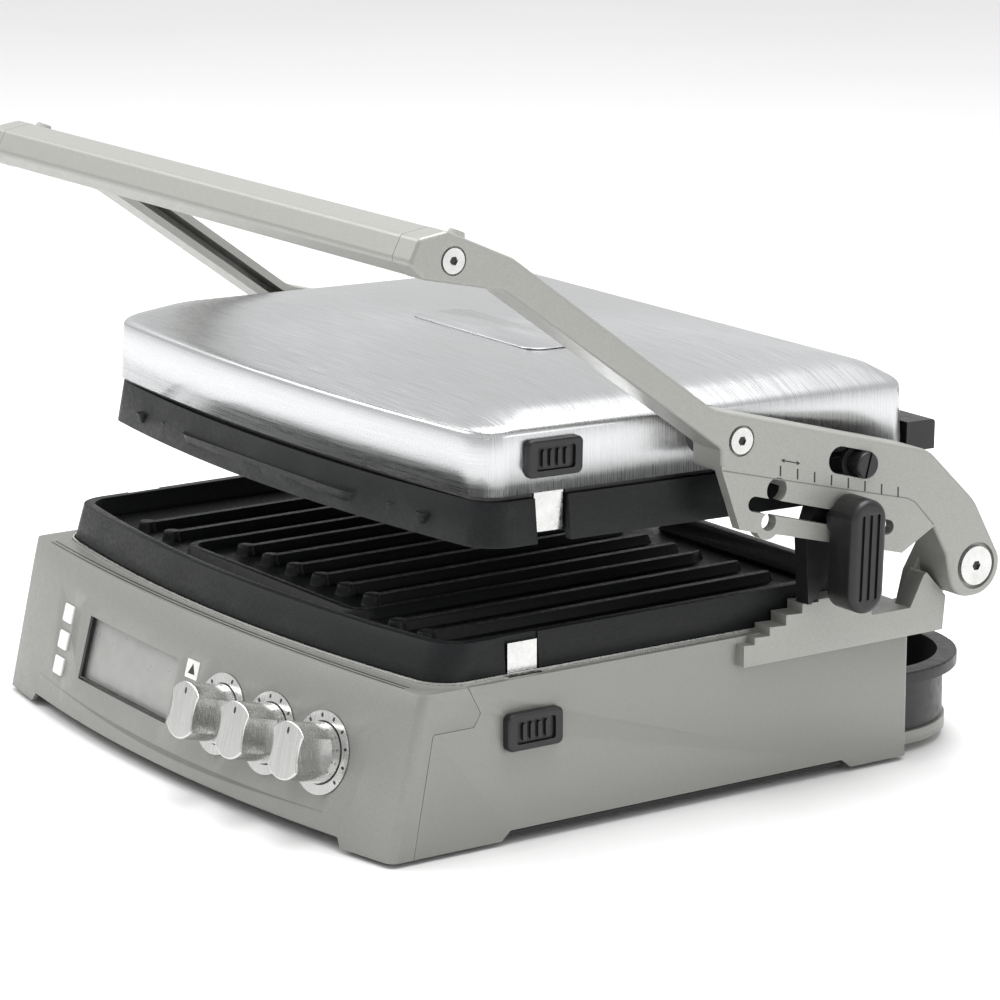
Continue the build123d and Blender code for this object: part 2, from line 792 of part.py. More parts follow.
def heater(plane, tube_r, half, near, far):
    """Sheathed heating element: two nested hairpins with cold ends at the rear."""
    bend = 18.0
    with BuildPart() as element:
        with BuildLine(plane) as route:
            FilletPolyline(
                (-half * 0.35, far + 12),
                (-half * 0.35, near + 62),
                (half * 0.35, near + 62),
                (half * 0.35, far - 30),
                (half, far - 30),
                (half, near),
                (-half, near),
                (-half, far - 10),
                (-half * 0.62, far - 10),
                (-half * 0.62, far + 12),
                radius=bend,
            )
        with BuildSketch(Plane(origin=route.line @ 0, z_dir=route.line % 0)):
            Circle(tube_r)
        sweep(path=route.line)
    return element.part


lower_element = heater(level(59), 3.2, 125.0, -96.0, 100.0)
lower_element.label = "lower_element"
export_step(lower_element, "parts/lower_element.step")

# a clip-on holder under the plate presses the thermostat's bulb against it
with BuildPart() as lower_thermostat:
    with BuildSketch(level(plate_top_z - 5.5)):
        Circle(11)
    extrude(amount=-9)
    with BuildSketch(level(plate_top_z - 14.5)):
        Rectangle(8, 26)
    extrude(amount=-2)
    with BuildSketch(level(plate_top_z - 16.5)):
        with Locations((0, 8)):
            Circle(2.2)
    extrude(amount=-(plate_top_z - 16.5 - pan_floor_z - 1))
lower_thermostat.part.label = "lower_thermostat"
export_step(lower_thermostat.part, "parts/lower_thermostat.step")

# Release catches: bezel, ribbed button and spring clip, below on the base and above on the lid ----
def catch_bezel(plane, y, z, back, proud):
    """Rounded frame snapped into the wall round a release button."""
    with BuildPart() as bezel:
        with BuildSketch(plane):
            with Locations((y, z)):
                RectangleRounded(catch_wide, catch_high, 3.2)
        extrude(amount=proud)
        fillet(edges().group_by(Axis.X)[-1], radius=1.4)
        with BuildSketch(plane):
            with Locations((y, z)):
                RectangleRounded(catch_wide - 5 - 0.2, catch_high - 5 - 0.2, 1.9)
        extrude(amount=-back)
        with BuildSketch(plane.offset(proud + 1)):
            with Locations((y, z)):
                RectangleRounded(catch_wide - 9.4, catch_high - 6.6, 1.6)
        extrude(amount=-(proud + back + 2), mode=Mode.SUBTRACT)
    return bezel.part


def catch_button(plane, y, z, back, proud):
    """Push button with upright grip ribs and the stem that works the clip."""
    wide, high = catch_wide - 9.4 - 2 * gap, catch_high - 6.6 - 2 * gap
    with BuildPart() as button:
        with BuildSketch(plane.offset(proud - 1.6)):
            with Locations((y, z)):
                RectangleRounded(wide, high, 1.3)
        extrude(amount=-(proud - 1.6 + back - 1.4))
        with BuildSketch(plane.offset(proud - 1.6)):
            with Locations((y, z)):
                with GridLocations(4.3, 0, 4, 1):
                    SlotOverall(high - 2.4, 2.2, rotation=90)
        extrude(amount=1.5)
    return button.part


lower_back = wall + 1.0
lower_release_bezel = catch_bezel(side(base_half), lower_catch_y, lower_catch_z, lower_back, 4.6)
lower_release_bezel.label = "lower_release_bezel"
export_step(lower_release_bezel, "parts/lower_release_bezel.step")

with BuildPart() as lower_release_button:
    add(catch_button(side(base_half), lower_catch_y, lower_catch_z, lower_back, 4.6))
    with BuildSketch(side(base_half - lower_back + 1.4)):
        with Locations((lower_catch_y, lower_catch_z)):
            Rectangle(8, 5)
    extrude(amount=-(base_half - lower_back + 1.4 - lower_clip_x - clip_thick - gap))
lower_release_button.part.label = "lower_release_button"
export_step(lower_release_button.part, "parts/lower_release_button.step")


def clip(plane, out_x, pin_z, low_z, high_z):
    """Spring steel clip: a flat tongue rolled round a pin, which its button tips outwards."""
    with BuildPart() as tongue:
        with BuildSketch(plane):
            with Locations((out_x + clip_thick / 2, (low_z + high_z) / 2)):
                Rectangle(clip_thick, high_z - low_z)
            with Locations((out_x + clip_thick + 1.8, pin_z)):
                Circle(2.5)
                Circle(pin_r + fit, mode=Mode.SUBTRACT)
        extrude(amount=-clip_wide)
    return tongue.part


def clip_pin(plane, out_x, pin_z, long):
    """Pin that a clip turns on."""
    with BuildPart() as pin:
        with BuildSketch(plane):
            with Locations((out_x + clip_thick + 1.8, pin_z)):
                Circle(pin_r)
        extrude(amount=-long)
    return pin.part


lower_clip = clip(
    front(lower_catch_y - clip_wide / 2), lower_clip_x, lower_pin_z, lower_catch_z - 3, 93.0
)
lower_clip.label = "lower_clip"
export_step(lower_clip, "parts/lower_clip.step")
pin_long = clip_wide + 6.4
lower_clip_pin = clip_pin(front(lower_catch_y - pin_long / 2), lower_clip_x, lower_pin_z, pin_long)
lower_clip_pin.label = "lower_clip_pin"
export_step(lower_clip_pin, "parts/lower_clip_pin.step")

# fixed hook on the left that the plate's other notch slides over
with BuildPart() as lower_hook:
    with BuildSketch(front(lug_y - clip_wide / 2)):
        with BuildLine():
            Polyline(
                (-lower_clip_x, 92.0),
                (-lower_clip_x - clip_thick, 92.0),
                (-lower_clip_x - clip_thick, deck_z - wall),
                (-lower_clip_x - 5.6, deck_z - wall),
                (-lower_clip_x - 5.6, deck_z - wall - clip_thick),
                (-lower_clip_x, deck_z - wall - clip_thick),
                close=True,
            )
        make_face()
    extrude(amount=-clip_wide)
lower_hook.part.label = "lower_hook"
export_step(lower_hook.part, "parts/lower_hook.step")

# Controls ---------------------------------------------------------------------------------------
with BuildPart() as dial_plates:
    for x in dial_x:
        with BuildSketch(face_plane(x, dial_z, 0.8)):
            Circle(dial_r)
            Circle(dial_bore_r, mode=Mode.SUBTRACT)
        extrude(amount=1.3)
dial_plates.part.label = "dial_plates"
export_step(dial_plates.part, "parts/dial_plates.step")

with BuildPart() as dial_switches:
    for x in dial_x:
        with BuildSketch(face_plane(x, dial_z, wall + 0.9)):
            RectangleRounded(15, 15, 1)
            Circle(shaft_r + fit, mode=Mode.SUBTRACT)
        extrude(amount=-8.5)
        with BuildSketch(face_plane(x, dial_z, wall + 0.9)):
            Circle(5.0)
            Circle(shaft_r + fit, mode=Mode.SUBTRACT)
        extrude(amount=wall + 0.2)
dial_switches.part.label = "dial_switches"
export_step(dial_switches.part, "parts/dial_switches.step")


def knob(x):
    """Metal knob waisted on both sides into an upright grip, with its shaft."""
    with BuildPart() as turned:
        with BuildSketch(face_plane(x, dial_z, -0.4)):
            Circle(knob_r + 0.6)
        extrude(amount=3.0)
        with BuildSketch(face_plane(x, dial_z, -3.4)):
            Circle(knob_r)
        extrude(amount=knob_high - 3.4)
        with BuildSketch(face_plane(x, dial_z, -5.4)):
            with Locations((32.0, 0), (-32.0, 0)):
                Circle(22.5)
        extrude(amount=knob_high, mode=Mode.SUBTRACT)
        fillet(top_edges(turned, x), radius=0.8)
        with BuildSketch(face_plane(x, dial_z, wall + 8.5)):
            Circle(shaft_r)
        extrude(amount=wall + 10)
    return turned.part


def top_edges(builder, x):
    """Edges of a knob's flat outer face."""
    outward = Axis(origin=(0, 0, 0), direction=face_plane(x, dial_z).z_dir)
    return builder.faces().sort_by(outward)[-1].edges()


for name, x in zip(("function_knob", "lower_knob", "upper_knob"), dial_x):
    piece = knob(x)
    piece.label = name
    export_step(piece, f"parts/{name}.step")

for name, z in zip(("start_button", "upper_sear_button", "lower_sear_button"), button_z):
    with BuildPart() as cap:
        with BuildSketch(face_plane(button_x, z, 3.0)):
            RectangleRounded(button_wide, button_high, 1.0)
        extrude(amount=4.0)
        chamfer(faces().sort_by(Axis.Y)[0].edges(), length=0.35)
        with BuildSketch(face_plane(button_x, z, 5.2)):
            Rectangle(button_wide + 2.6, 5)
        extrude(amount=1.4)
        with BuildSketch(face_plane(button_x, z, 5.2)):
            Circle(2.2)
        extrude(amount=2.5)
    cap.part.label = name
    export_step(cap.part, f"parts/{name}.step")

with BuildPart() as indicator_lens:
    with BuildSketch(face_plane(badge_x, badge_z, 0.7)):
        RectangleRounded(11.2, 9.2, 0.7)
    extrude(amount=0.9)
indicator_lens.part.label = "indicator_lens"
export_step(indicator_lens.part, "parts/indicator_lens.step")

lens_deep = 6.3
with BuildPart() as display_lens:
    with BuildSketch(face_plane(window_x, window_z, lens_deep)):
        Rectangle(window_wide + 5, window_high + 5)
    extrude(amount=2.0)
display_lens.part.label = "display_lens"
export_step(display_lens.part, "parts/display_lens.step")

with BuildPart() as display_module:
    with BuildSketch(face_plane(window_x, window_z, lens_deep + 6.2)):
        Rectangle(window_wide + 1, window_high + 1)
    extrude(amount=6.0)
display_module.part.label = "display_module"
export_step(display_module.part, "parts/display_module.step")

with BuildPart() as control_board:
    with BuildSketch(face_plane(0, 36, 24)):
        Rectangle(270, 38)
    extrude(amount=1.6)
    with BuildSketch(face_plane(0, 36, 24)):
        with Locations((-60, 0), (20, 5), (70, -4)):
            Rectangle(12, 9)
    extrude(amount=-2.2)
control_board.part.label = "control_board"
export_step(control_board.part, "parts/control_board.step")

with BuildPart() as power_board:
    with BuildSketch(level(14)):
        with Locations((-20, 118)):
            Rectangle(110, 46)
    extrude(amount=1.6)
    with BuildSketch(level(15.6)):
        with Locations((-50, 118), (0, 126)):
            Rectangle(22, 18)
        with Locations((-20, 106)):
            Circle(7)
    extrude(amount=17)
    with BuildSketch(level(cover_z)):
        with Locations((-70, 100), (30, 100), (-70, 136), (30, 136)):
            Circle(2.4)
    extrude(amount=11)
power_board.part.label = "power_board"
export_step(power_board.part, "parts/power_board.step")

with BuildPart() as cord_gland:
    with BuildSketch(front(base_rear + 5)):
        with Locations((-120, 55)):
            Circle(9.5)
    extrude(amount=5)
    with BuildSketch(front(base_rear + 5)):
        with Locations((-120, 55)):
            Circle(7.0)
    extrude(amount=5 + wall + 4)
    with BuildSketch(front(base_rear + 10)):
        with Locations((-120, 55)):
            Circle(3.8)
    extrude(amount=40, mode=Mode.SUBTRACT)
cord_gland.part.label = "cord_gland"
export_step(cord_gland.part, "parts/cord_gland.step")

# Drip tray: slides out rearwards over the bay floor ---------------------------------------------
with BuildPart() as drip_tray:
    with BuildSketch(level(tray_floor_z - 3)):
        rear_apron(tray_half - 7, tray_rear - 7, tray_front)
    extrude(amount=tray_rim_z - tray_floor_z + 3)
    with BuildSketch(level(tray_rim_z - 6)):
        rear_apron(tray_half, tray_rear, tray_front)
    extrude(amount=6)
    fillet(edges().group_by(Axis.Z)[-1], radius=1.0)
    with BuildSketch(level(tray_floor_z)):
        rear_apron(tray_half - 10, tray_rear - 10, tray_front + 3)
    extrude(amount=60, mode=Mode.SUBTRACT)
drip_tray.part.label = "drip_tray"
export_step(drip_tray.part, "parts/drip_tray.step")

# Lid: everything below is drawn in the lid's own level frame --------------------------------------
def lid_block(inset, low, high):
    """The pressed cover's outer form, or its hollow when inset, between two heights."""
    sections = (
        (lid_skirt_z, 0.0, 0.0, 0.0),
        (lid_crease_z, 0.6, 0.6, 0.6),
        (lid_brow_z, 19.0, 26.0, 12.0),
        (lid_crown_z, 70.0, 70.0, 60.0),
    )
    with BuildPart() as block:
        for z, at_side, at_front, at_rear in sections:
            with BuildSketch(lid_level(z - inset * 0.9)):
                bowed(
                    lid_half - inset - at_side,
                    lid_front + inset + at_front,
                    lid_front_corner + inset + at_front,
                    lid_rear - inset - at_rear,
                    14.0,
                    10.0,
                )
        loft(ruled=True)
        with BuildSketch(lid_level(low)):
            Rectangle(1000, 1000)
        extrude(amount=high - low, mode=Mode.INTERSECT)
    return block.part


with BuildPart() as lid_cover:
    add(lid_block(0, lid_skirt_z, 300))
    add(lid_block(skin, lid_skirt_z - 5, 300), mode=Mode.SUBTRACT)
    # holes for the float bosses, the release and the clip's notch
    with BuildSketch(side(-lid_half - 5)):
        with Locations((float_y, float_z)):
            Circle(12.3)
    extrude(amount=2 * lid_half + 10, mode=Mode.SUBTRACT)
    with BuildSketch(lid_side(lid_half - 5)):
        with Locations((upper_catch_y, upper_catch_z)):
            RectangleRounded(catch_wide - 5, catch_high - 5, 2)
        with Locations((upper_catch_y, lid_skirt_z)):
            Rectangle(clip_wide + 2, 9)
    extrude(amount=10, mode=Mode.SUBTRACT)
lid_cover.part.label = "lid_cover"
export_step(lid_cover.part, "parts/lid_cover.step")

frame_half = lid_half - skin - 0.6 - gap
with BuildPart() as lid_frame:
    with BuildSketch(lid_level(upper_top_z + 0.2)):
        bowed(frame_half, lid_front + 2.5, lid_front_corner + 2.5, lid_rear - 2.5, 12, 8)
    extrude(amount=5.0)
    with BuildSketch(lid_level(upper_top_z)):
        bowed(152, lid_front + 24, lid_front_corner + 24, lid_rear - 24, 12, 8)
    extrude(amount=8, mode=Mode.SUBTRACT)
    for way in (-1, 1):
        with BuildSketch(lid_side(way * 158)):
            with Locations((float_y, (upper_top_z + lid_crease_z) / 2)):
                Rectangle(36, lid_crease_z - upper_top_z - 8)
        extrude(amount=way * (frame_half - 159))
        with BuildSketch(side(way * 158)):
            with Locations((float_y, float_z)):
                Circle(12.0)
        extrude(amount=way * (boss_half - 158))
        with BuildSketch(side(way * 150)):
            with Locations((float_y, float_z)):
                Circle(float_bolt_r + fit)
        extrude(amount=way * 40, mode=Mode.SUBTRACT)
    # lugs for the clip's pin, and the clip's slot through the rim
    with BuildSketch(lid_level(upper_top_z)):
        with Locations((upper_clip_x, upper_catch_y)):
            Rectangle(14, clip_wide + 2)
    extrude(amount=20, mode=Mode.SUBTRACT)
    for y in (-1, 1):
        with BuildSketch(lid_side(158)):
            with Locations((upper_catch_y + y * (clip_wide / 2 + 2), upper_pin_z - 1)):
                Rectangle(2.4, 7)
        extrude(amount=9.4)
    with BuildSketch(lid_cross(upper_catch_y - 20)):
        with Locations((upper_clip_x - 1.8, upper_pin_z)):
            Circle(pin_r)
    extrude(amount=-40, mode=Mode.SUBTRACT)
lid_frame.part.label = "lid_frame"
export_step(lid_frame.part, "parts/lid_frame.step")


def upper_outline(grow):
    """Outline of the upper plate, grown or shrunk."""
    bowed(
        upper_half + grow,
        upper_front - grow,
        upper_front_corner - grow,
        upper_rear + grow,
        max(18 + grow, 4.0),
        max(12 + grow, 4.0),
    )


with BuildPart() as upper_plate:
    with BuildSketch(lid_level(upper_rim_z)):
        upper_outline(0)
    with BuildSketch(lid_level(upper_top_z)):
        upper_outline(-3.0)
    loft(ruled=True)
    with BuildSketch(lid_level(upper_rim_z - 1)):
        upper_outline(-plate_wall)
    extrude(amount=upper_face_z - upper_rim_z + 1, taper=6, mode=Mode.SUBTRACT)
    with BuildSketch(lid_level(upper_face_z + 5.5)):
        upper_outline(-3.0 - plate_wall)
    extrude(amount=20, mode=Mode.SUBTRACT)
    with BuildSketch(lid_level(upper_face_z + 0.5)):
        loop_rib()
        for x in inner_rib_x:
            grill_rib(x, *rib_ys)
        for x in outer_rib_x:
            grill_rib(x, *outer_rib_ys)
    extrude(amount=-rib_high - 0.5, taper=22)
    # stock and notches for the clips, one each side
    for way in (-1, 1):
        with BuildSketch(lid_level(upper_rim_z + 3)):
            with Locations((way * (upper_clip_x - 5), upper_catch_y)):
                Rectangle(9, clip_wide + 10)
        extrude(amount=upper_top_z - upper_rim_z - 3)
        with BuildSketch(lid_level(upper_rim_z - 1)):
            with Locations((way * (upper_clip_x + 10), upper_catch_y)):
                Rectangle(2 * (10 + clip_thick + 0.6), clip_wide + 2.4)
        extrude(amount=40, mode=Mode.SUBTRACT)
upper_plate.part.label = "upper_plate"
export_step(upper_plate.part, "parts/upper_plate.step")

with BuildPart() as upper_reflector:
    with BuildSketch(lid_level(upper_top_z + 5.4)):
        bowed(158, lid_front + 12, lid_front_corner + 12, lid_rear - 12, 12, 8)
    extrude(amount=0.8)
    with BuildSketch(lid_level(upper_top_z + 5.4)):
        bowed(148, lid_front + 28, lid_front_corner + 28, lid_rear - 28, 12, 8)
    extrude(amount=14)
    with BuildSketch(lid_level(upper_top_z + 5.4)):
        bowed(147, lid_front + 29, lid_front_corner + 29, lid_rear - 29, 12, 8)
    extrude(amount=13, mode=Mode.SUBTRACT)
upper_reflector.part.label = "upper_reflector"
export_step(upper_reflector.part, "parts/upper_reflector.step")

upper_element = heater(lid_level(upper_top_z + 8), 3.2, 125.0, -58.0, 106.0)
upper_element.label = "upper_element"
export_step(upper_element, "parts/upper_element.step")

with BuildPart() as upper_thermostat:
    with BuildSketch(lid_level(upper_face_z + 5.5)):
        with Locations((0, 20)):
            Circle(10)
    extrude(amount=8)
    with BuildSketch(lid_level(upper_face_z + 13.5)):
        with Locations((0, 20)):
            Rectangle(8, 22)
    extrude(amount=2)
upper_thermostat.part.label = "upper_thermostat"
export_step(upper_thermostat.part, "parts/upper_thermostat.step")

with BuildPart() as lid_badge:
    with BuildSketch(lid_level(lid_crown_z)):
        with Locations((20, 18)):
            RectangleRounded(110, 34, 9)
    extrude(amount=0.8)
lid_badge.part.label = "lid_badge"
export_step(lid_badge.part, "parts/lid_badge.step")

upper_back = skin + 1.4
upper_release_bezel = catch_bezel(lid_side(lid_half), upper_catch_y, upper_catch_z, upper_back, 3.6)
upper_release_bezel.label = "upper_release_bezel"
export_step(upper_release_bezel, "parts/upper_release_bezel.step")

with BuildPart() as upper_release_button:
    add(catch_button(lid_side(lid_half), upper_catch_y, upper_catch_z, upper_back, 3.6))
upper_release_button.part.label = "upper_release_button"
export_step(upper_release_button.part, "parts/upper_release_button.step")

upper_clip_low = 140.0
with BuildPart() as upper_clip:
    with BuildSketch(lid_cross(upper_catch_y - clip_wide / 2)):
        with Locations((upper_clip_x + clip_thick / 2, (upper_clip_low + upper_pin_z + 4) / 2)):
            Rectangle(clip_thick, upper_pin_z + 4 - upper_clip_low)
        with Locations((upper_clip_x - 1.8, upper_pin_z)):
            Circle(2.5)
            Circle(pin_r + fit, mode=Mode.SUBTRACT)
    extrude(amount=-clip_wide)
upper_clip.part.label = "upper_clip"
export_step(upper_clip.part, "parts/upper_clip.step")

with BuildPart() as upper_clip_pin:
    with BuildSketch(lid_cross(upper_catch_y - pin_long / 2)):
        with Locations((upper_clip_x - 1.8, upper_pin_z)):
            Circle(pin_r)
    extrude(amount=-pin_long)
upper_clip_pin.part.label = "upper_clip_pin"
export_step(upper_clip_pin.part, "parts/upper_clip_pin.step")

# fixed hook on the left, under the frame's rim
with BuildPart() as upper_hook:
    with BuildSketch(lid_cross(upper_catch_y - clip_wide / 2)):
        with Locations((-upper_clip_x - clip_thick / 2, (upper_clip_low + upper_top_z + 0.2) / 2)):
            Rectangle(clip_thick, upper_top_z + 0.2 - upper_clip_low)
    extrude(amount=-clip_wide)
upper_hook.part.label = "upper_hook"
export_step(upper_hook.part, "parts/upper_hook.step")

with BuildPart() as lid_wire_box:
    with BuildSketch(lid_level(154)):
        with Locations((150, lid_rear + 9.4)):
            Rectangle(40, 18)
    extrude(amount=15)
    fillet(edges().filter_by(Axis.X).group_by(Axis.Y)[-1], radius=2.0)
    with BuildSketch(lid_level(154)):
        with Locations((150, lid_rear + 9.4)):
            Rectangle(35, 13)
    extrude(amount=12.5, mode=Mode.SUBTRACT)
lid_wire_box.part.label = "lid_wire_box"
export_step(lid_wire_box.part, "parts/lid_wire_box.step")

# Lever: a flat grip outside the arm, a neck through the slot and a pawl block inside ---------------
neck_r = slot_wide / 2 - gap
with BuildPart() as lever_knob:
    with BuildSketch(side(arm_outer + 3.0)):
        with Locations((lever_y + 3.0, 117.4)):
            SlotOverall(56, 21, rotation=88)
    extrude(amount=lever_reach - arm_outer - 3.0)
    fillet(faces().sort_by(Axis.X)[-1].edges(), radius=3.4)
    # upright grip flutes in the outer face
    with BuildSketch(side(lever_reach)):
        with Locations((lever_y + 3.0, 117.4)):
            with GridLocations(4.6, 0, 3, 1):
                SlotOverall(42, 1.8, rotation=88)
    extrude(amount=-1.4, mode=Mode.SUBTRACT)
    with BuildSketch(side(arm_outer + gap)):
        with Locations((lever_y, lever_z)):
            Circle(7.4)
    extrude(amount=3.0 - gap)
    with BuildSketch(side(arm_outer - 6.0 - gap)):
        with Locations((lever_y, lever_z)):
            Circle(neck_r)
    extrude(amount=8.0)
lever_knob.part.label = "lever_knob"
export_step(lever_knob.part, "parts/lever_knob.step")

pawl_in, pawl_out = base_half + 0.5, arm_outer - 6.0 - gap
with BuildPart() as lever_pawl:
    with BuildSketch(side(pawl_in)):
        with BuildLine():
            Polyline(
                (pawl_y, pawl_z),
                (pawl_y + 2.0, pawl_z),
                (pawl_y + 11.0, pawl_z + 10.0),
                (pawl_y + 20.0, 124.0),
                (pawl_y + 17.0, 138.0),
                (pawl_y + 3.0, 138.0),
                (pawl_y - 2.0, 124.0),
                close=True,
            )
        make_face()
    extrude(amount=pawl_out - pawl_in)
lever_pawl.part.label = "lever_pawl"
export_step(lever_pawl.part, "parts/lever_pawl.step")

# Float lock: a ribbed slider in the upper slot
lock_y, lock_z = 109.2, 157.7
with BuildPart() as float_lock:
    with BuildSketch(side(arm_outer - arm_web - 2.6)):
        with Locations((lock_y, lock_z)):
            SlotOverall(lock_wide + 6.0, lock_wide + 2.0, rotation=slot_turn)
    extrude(amount=2.3)
    with BuildSketch(side(arm_outer - arm_web - 0.4)):
        with Locations((lock_y, lock_z)):
            Circle(lock_wide / 2 - gap)
    extrude(amount=arm_web + 4.4)
    fillet(faces().sort_by(Axis.X)[-1].edges(), radius=1.2)
    with BuildSketch(side(arm_outer + 4.0)):
        with Locations((lock_y, lock_z)):
            Rectangle(1.4, 20, rotation=slot_turn)
    extrude(amount=-1.2, mode=Mode.SUBTRACT)
float_lock.part.label = "float_lock"
export_step(float_lock.part, "parts/float_lock.step")
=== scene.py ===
"""The panini press's looks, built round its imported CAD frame.

Blender's lengths are metres. Names and arguments that describe the design are millimetres, which MM
or at() turns into metres.
"""

import json
import math

import bmesh
import bpy
from mathutils import Matrix, Vector
from mathutils.bvhtree import BVHTree


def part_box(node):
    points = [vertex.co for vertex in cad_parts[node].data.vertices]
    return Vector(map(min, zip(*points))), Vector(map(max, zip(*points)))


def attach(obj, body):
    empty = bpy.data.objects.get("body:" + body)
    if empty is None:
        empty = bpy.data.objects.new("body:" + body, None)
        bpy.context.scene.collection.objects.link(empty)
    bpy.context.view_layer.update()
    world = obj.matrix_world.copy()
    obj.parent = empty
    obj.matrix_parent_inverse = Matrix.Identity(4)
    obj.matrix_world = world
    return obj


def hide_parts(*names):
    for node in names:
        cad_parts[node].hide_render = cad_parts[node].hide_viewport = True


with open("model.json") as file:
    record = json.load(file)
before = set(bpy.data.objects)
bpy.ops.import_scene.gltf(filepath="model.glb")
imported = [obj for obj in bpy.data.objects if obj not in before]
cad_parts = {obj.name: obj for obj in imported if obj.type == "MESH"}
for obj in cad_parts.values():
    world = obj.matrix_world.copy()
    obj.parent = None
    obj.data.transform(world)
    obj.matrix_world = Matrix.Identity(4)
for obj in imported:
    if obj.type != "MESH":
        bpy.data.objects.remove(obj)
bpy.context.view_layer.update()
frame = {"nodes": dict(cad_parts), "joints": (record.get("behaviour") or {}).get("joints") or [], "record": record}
nodes = frame["nodes"]
joints = {joint["name"]: joint for joint in frame["joints"]}
MM = 0.001

# The design's own origin: middle of the plates, underside of the housing
housing_low, housing_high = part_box("base_housing")
HOUSING_REAR = 214.0
design_origin = Vector(
    ((housing_low.x + housing_high.x) / 2, housing_high.y - HOUSING_REAR * MM, housing_low.z)
)


def at(x, y, z):
    """A point of the design, in millimetres, as a place in the frame."""
    return design_origin + Vector((x, y, z)) * MM


# Camera -----------------------------------------------------------------------------------------
LENS, SENSOR = 155.313, 36.0
CAMERA_PLACE = (1767.04, -1180.31, 628.88)
CAMERA_BACK = (0.8009783, -0.55064123, 0.2350064)
camera_data = bpy.data.cameras.new("camera")
camera_data.lens = LENS
camera_data.sensor_width = SENSOR
camera_data.clip_end = 50.0
camera = bpy.data.objects.new("camera", camera_data)
bpy.context.scene.collection.objects.link(camera)
back = Vector(CAMERA_BACK).normalized()
right = Vector((0, 0, 1)).cross(back).normalized()
up = back.cross(right)
camera.matrix_world = Matrix.Translation(at(*CAMERA_PLACE)) @ Matrix(
    (right, up, back)
).transposed().to_4x4()
bpy.context.scene.camera = camera


# Materials --------------------------------------------------------------------------------------
EDGE_RANGE = (0.86, 0.995)  # agreement of normals at a sharp edge, and on a nearly flat place
WORN_GAIN, WORN_ADD = 1.5, 0.05  # how much lighter a rubbed edge is


class Finish:
    """A Principled material whose colour, roughness and bump are fed by procedural nodes."""

    def __init__(self, name, color, metallic=0.0, roughness=0.4, **sockets):
        self.material = bpy.data.materials.new(name)
        self.material.use_nodes = True
        self.tree = self.material.node_tree
        self.shader = self.tree.nodes["Principled BSDF"]
        self.shader.inputs["Base Color"].default_value = (*color, 1)
        self.shader.inputs["Metallic"].default_value = metallic
        self.shader.inputs["Roughness"].default_value = roughness
        for socket, value in sockets.items():
            self.shader.inputs[socket.replace("_", " ")].default_value = value
        self.color = color
        self.place = self.node("ShaderNodeTexCoord").outputs["Object"]
        self.normal = None

    def node(self, kind, **settings):
        made = self.tree.nodes.new(kind)
        for key, value in settings.items():
            setattr(made, key, value)
        return made

    def link(self, source, target):
        self.tree.links.new(source, target)

    def noise(self, scale, detail=3.0, stretch=None):
        """Noise at so many cells per metre, stretched along an axis for brushing."""
        texture = self.node("ShaderNodeTexNoise")
        texture.inputs["Scale"].default_value = scale
        texture.inputs["Detail"].default_value = detail
        source = self.place
        if stretch:
            mapping = self.node("ShaderNodeMapping")
            mapping.inputs["Scale"].default_value = stretch
            self.link(source, mapping.inputs["Vector"])
            source = mapping.outputs["Vector"]
        self.link(source, texture.inputs["Vector"])
        return texture.outputs["Fac"]

    def spread(self, source, low, high, start=0.3, end=0.7):
        """A noise value mapped from its middle range to a range of numbers."""
        span = self.node("ShaderNodeMapRange")
        for socket, value in zip(("From Min", "From Max", "To Min", "To Max"), (start, end, low, high)):
            span.inputs[socket].default_value = value
        self.link(source, span.inputs["Value"])
        return span.outputs["Result"]

    def tint(self, source, low, high):
        """Base colour varied between two shares of its own brightness."""
        mix = self.node("ShaderNodeMix", data_type="RGBA")
        mix.inputs["A"].default_value = (*[c * low for c in self.color], 1)
        mix.inputs["B"].default_value = (*[min(c * high, 1) for c in self.color], 1)
        self.link(self.spread(source, 0, 1), mix.inputs["Factor"])
        self.link(mix.outputs["Result"], self.shader.inputs["Base Color"])
        self.color_output = mix.outputs["Result"]

    def rough(self, source, low, high):
        """Roughness varied between two values."""
        self.link(self.spread(source, low, high), self.shader.inputs["Roughness"])

    def bump(self, source, height, strength):
        """Relief of a height in metres, added on top of what is there."""
        relief = self.node("ShaderNodeBump")
        relief.inputs["Distance"].default_value = height
        relief.inputs["Strength"].default_value = strength
        self.link(source, relief.inputs["Height"])
        if self.normal:
            self.link(self.normal, relief.inputs["Normal"])
        self.normal = relief.outputs["Normal"]
        self.link(self.normal, self.shader.inputs["Normal"])

    def worn(self, radius, share):
        """Edges lighter with handling: where a rounded normal leaves the surface's own."""
        rounded = self.node("ShaderNodeBevel", samples=4)
        rounded.inputs["Radius"].default_value = radius
        facing = self.node("ShaderNodeVectorMath", operation="DOT_PRODUCT")
        self.link(rounded.outputs["Normal"], facing.inputs[0])
        self.link(self.node("ShaderNodeNewGeometry").outputs["Normal"], facing.inputs[1])
        edge = self.spread(facing.outputs["Value"], share, 0.0, *EDGE_RANGE)
        mix = self.node("ShaderNodeMix", data_type="RGBA")
        self.link(edge, mix.inputs["Factor"])
        self.link(self.color_output, mix.inputs["A"])
        mix.inputs["B"].default_value = (*[min(c * WORN_GAIN + WORN_ADD, 1) for c in self.color], 1)
        self.link(mix.outputs["Result"], self.shader.inputs["Base Color"])


def silver_paint(name, color):
    """Satin metallic paint: fine bright speckle, faint orange peel and lighter edges."""
    finish = Finish(
        name, color, metallic=0.35, roughness=0.42, Coat_Weight=0.12, Coat_Roughness=0.35
    )
    finish.tint(finish.noise(2600, 2.0), 0.86, 1.12)
    finish.rough(finish.noise(300), 0.38, 0.5)
    finish.bump(finish.noise(1500, 2.0), 0.00003, 0.35)
    finish.worn(0.0006, 0.35)
    return finish.material


